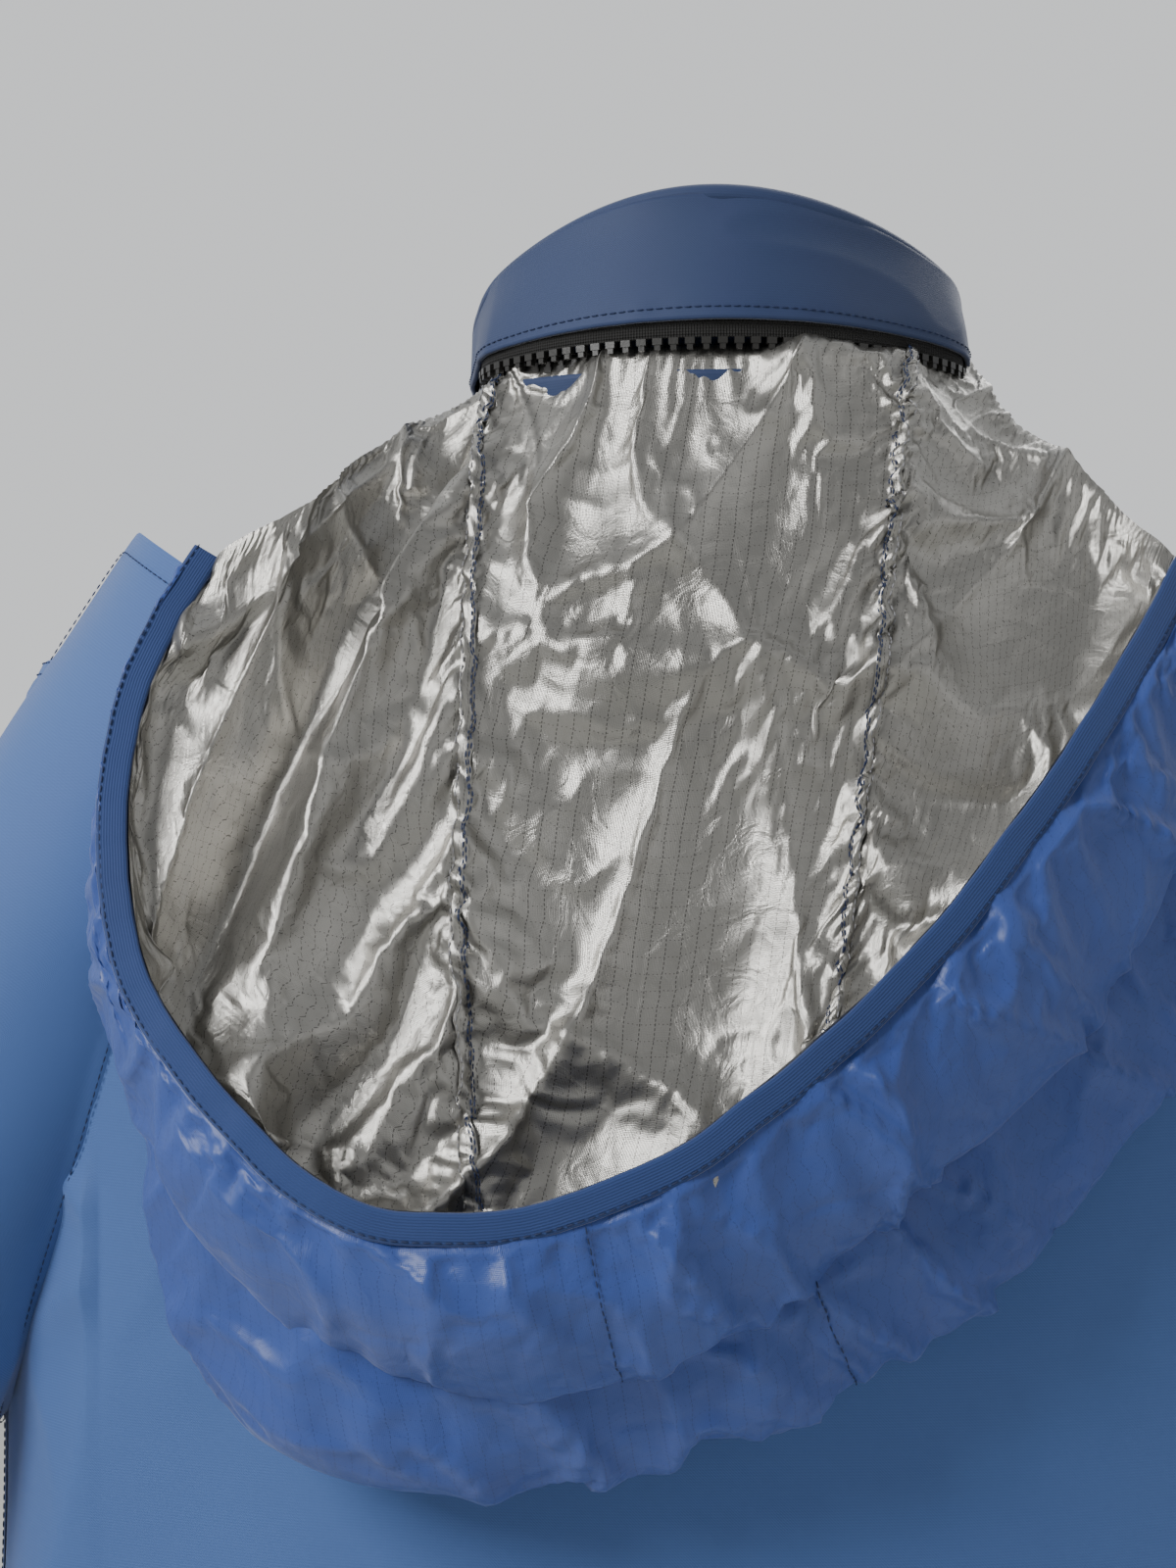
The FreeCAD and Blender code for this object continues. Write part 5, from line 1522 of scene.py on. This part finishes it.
    def hem(self) -> list[Piece]:
        """The turned hem and its stitches."""
        torso = self.torso
        start = math.asin(self.tape_half / torso.half)
        angle = np.linspace(-math.pi / 2 + start, 1.5 * math.pi - start, 361)[None, :]
        low, high = torso.hem_z, torso.hem_top
        z = np.concatenate([np.linspace(high + 0.0015, low + 0.0015, 16), [low, low, low + 0.0015],
                            np.linspace(low + 0.004, high - 0.004, 8)])[:, None]
        inset = np.concatenate([np.full(16, -0.0012), [-0.0004, 0.0018, 0.0026], np.full(8, 0.0026)])[:, None]
        angle, z, inset = np.broadcast_arrays(angle, z, inset)
        grid = self.folded(angle, np.maximum(z, low), 0.0)
        plain = torso.point(angle, z)
        out = unit(plain * np.array([1, 1, 0.0]) - np.array([0, 0.016, 0]))
        grid = grid - out * inset[..., None]
        grid[..., 2] = z
        band = sheet_from("hem_band", grid, SHELL)
        declare_sheet(band, plain)
        rows = [grid[2] + out[2] * 0.0007, grid[13] + out[13] * 0.0007]
        stitches = TOPSTITCH.along("hem_stitches", rows, THREAD)
        return [Piece(band, "root", "body_shell", ("hem_band",)), Piece(stitches, "root", "body_shell")]


@dataclass
class Fittings:
    """The main zip, storm flap, neck tape, hang loop and the cast and moulded parts."""

    low: float = -0.700
    high: float = 0.070
    plane: float = -0.083

    def build(self) -> list[Piece]:
        """Make the pieces."""
        pieces = []
        rows = np.linspace(self.low, self.high, 160)[:, None]
        for side, hand in ((1, "left"), (-1, "right")):
            across = np.linspace(0.0026, 0.015, 9)[None, :]
            y = self.plane + 0.0016 * smooth(0.008, 0.011, across)
            grid = np.stack(np.broadcast_arrays(side * across, y, rows), axis=-1)
            tape = sheet_from(f"front_zip_tape_{hand}", grid, TAPE)
            thicken(tape, 0.9 * MM)
            pieces.append(Piece(tape, "root", "zip_tape", (f"front_zip_tape_{hand}",)))
            shift = 0.0 if side > 0 else 0.0025
            line = np.stack([np.full(200, side * 0.0012), np.full(200, self.plane),
                             np.linspace(self.low + 0.012 + shift, self.high - 0.004, 200)], axis=-1)
            teeth = CHAIN.along(f"front_zip_teeth_{hand}", [line], TEETH, (-side, 0, 0))
            pieces.append(Piece(teeth, "root", "zip_teeth", (f"front_zip_teeth_{hand}",)))
        pieces += self.cloth()
        self.dress()
        return pieces

    def cloth(self) -> list[Piece]:
        """Storm flap, neck tape and hang loop."""
        z = np.linspace(-0.694, -0.060, 150)[:, None]
        across = np.linspace(-0.022, 0.022, 15)[None, :]
        wave = 0.0006 * value_noise(np.stack(np.broadcast_arrays(across, 0.0, z), axis=-1), 0.05, 441)
        grid = np.stack(np.broadcast_arrays(across, self.plane + 0.0034 + wave, z), axis=-1)
        flap = sheet_from("storm_flap", grid, SHELL)
        thicken(flap, 1.0 * MM)
        declare_sheet(flap, grid)
        turn = np.linspace(math.pi - 0.13, -math.pi + 0.13, 240)[None, :]
        height = np.linspace(-0.0028, 0.0062, 6)[:, None]
        ring = np.stack(np.broadcast_arrays(0.0800 * np.sin(turn), 0.0800 * np.cos(turn), height), axis=-1)
        neck = sheet_from("neck_tape", ring, TAFFETA)
        thicken(neck, 0.8 * MM)
        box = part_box("hang_loop")
        foot, strap, level = box[1].y, box[0].y + 0.0006, (box[0].z + box[1].z) / 2
        left = [(-0.027, foot), (-0.027, strap + 0.002), (-0.024, strap)]
        path = np.array(left + [(-x, y) for x, y in reversed(left)])
        steps = np.concatenate([[0], np.cumsum(np.linalg.norm(np.diff(path, axis=0), axis=1))])
        fine = np.linspace(0, steps[-1], 60)
        x, y = (np.interp(fine, steps, path[:, k]) for k in (0, 1))
        way = np.stack([x, y, 0 * fine + level], axis=-1)
        loop = sweep("hang_loop", way, np.tile([0, 0, 1.0], (60, 1)), flat_loop(0.008, 0.0012), ELASTIC)
        return [Piece(flap, replaces=("storm_flap",)), Piece(neck, replaces=("neck_tape",)),
                Piece(loop, "root", "zip_tape", ("hang_loop",))]

    @staticmethod
    def dress() -> None:
        """Give the cast and moulded nodes of the frame their materials and bevelled edges."""
        for thing in bpy.data.objects:
            if thing.type != "MESH":
                continue
            plate = "slider" in thing.name or "retainer" in thing.name
            if plate or "zip_pull" in thing.name or "top_stops" in thing.name:
                finish = METAL if plate else TEETH if "stops" in thing.name else RUBBER
                thing.data.materials.clear()
                thing.data.materials.append(finish.build())
                edge = thing.modifiers.new("edges", "BEVEL")
                edge.width, edge.segments, edge.limit_method = 0.35 * MM, 2, "ANGLE"


# ---- studio

@dataclass
class Studio:
    """Pale floor and backdrop, soft daylight from the upper right, and the camera behind the back."""

    eye: tuple[float, float, float] = (0.044, 0.85, -0.104)
    target: tuple[float, float, float] = (0.044, 0.12, -0.104)
    frame_height: float = 0.462

    def build(self) -> None:
        """Set the scene round the jacket."""
        self.stage()
        self.lights()
        self.camera()

    def stage(self) -> None:
        """A floor, pale and plain."""
        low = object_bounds()[0].z - 0.35
        plain = bpy.data.materials.new("pale painted board")
        plain.use_nodes = True
        shader = plain.node_tree.nodes["Principled BSDF"]
        shader.inputs["Base Color"].default_value = linear("#dcdbd6")
        shader.inputs["Roughness"].default_value = 0.9
        mesh = bpy.data.meshes.new("floor")
        far = 6.0
        corners = [(-far, -far, low), (far, -far, low), (far, far, low), (-far, far, low)]
        mesh.from_pydata(corners, [], [(0, 1, 2, 3)])
        mesh.materials.append(plain)
        new_object("floor", mesh)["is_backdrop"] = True

    def lights(self) -> None:
        """Daylight all round, with one broad window."""
        world = bpy.data.worlds.new("daylight")
        bpy.context.scene.world = world
        world.use_nodes = True
        tree = world.node_tree
        way = add(tree, "ShaderNodeSeparateXYZ", {0: add(tree, "ShaderNodeTexCoord").outputs["Generated"]})
        level = add(tree, "ShaderNodeMapRange", {"Value": way.outputs["Y"], "From Min": -0.5, "From Max": 0.5,
                                                 "To Min": 1.05, "To Max": 0.30})
        back = tree.nodes["Background"]
        back.inputs["Color"].default_value = linear("#e6e8ea")
        tree.links.new(level.outputs[0], back.inputs["Strength"])
        for name, spot, aim, power, size in (
                ("window", (1.25, 1.05, 0.70), (0.0, 0.1, -0.15), 30.0, 0.7),
                ("fill", (-1.5, 1.5, 0.3), (0.0, 0.1, -0.15), 5.0, 1.6),
                ("front window", (-0.9, -1.9, 1.2), (0.0, 0.0, -0.3), 26.0, 1.3)):
            lamp = bpy.data.lights.new(name, "AREA")
            lamp.energy, lamp.size = power, size
            thing = bpy.data.objects.new(name, lamp)
            thing.location = spot
            thing.rotation_euler = (Vector(aim) - Vector(spot)).to_track_quat("-Z", "Y").to_euler()
            bpy.context.scene.collection.objects.link(thing)

    def camera(self) -> None:
        """The camera, level with the upper back."""
        lens = bpy.data.cameras.new("camera")
        sight = Vector(self.target) - Vector(self.eye)
        lens.sensor_fit = "VERTICAL"
        lens.angle = 2 * math.atan(self.frame_height / 2 / sight.length)
        lens.clip_start = 0.02
        thing = bpy.data.objects.new("camera", lens)
        thing.location = self.eye
        thing.rotation_euler = sight.to_track_quat("-Z", "Y").to_euler()
        bpy.context.scene.collection.objects.link(thing)
        bpy.context.scene.camera = thing


def main() -> None:
    """Build the jacket in order."""
    logging.basicConfig(level=logging.INFO, format="%(name)s: %(message)s")
    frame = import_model()
    torso = Torso()
    made: list[Piece] = []
    sleeves = (Sleeve(1), Sleeve(-1))
    for part in (Hood(torso), Collar(), Body(torso, sleeves), Fittings()):
        made += part.build()
    for sleeve in sleeves:
        made += sleeve.build(torso)
    for piece in made:
        piece.place()
    Studio().build()


if __name__ == "__main__":
    main()
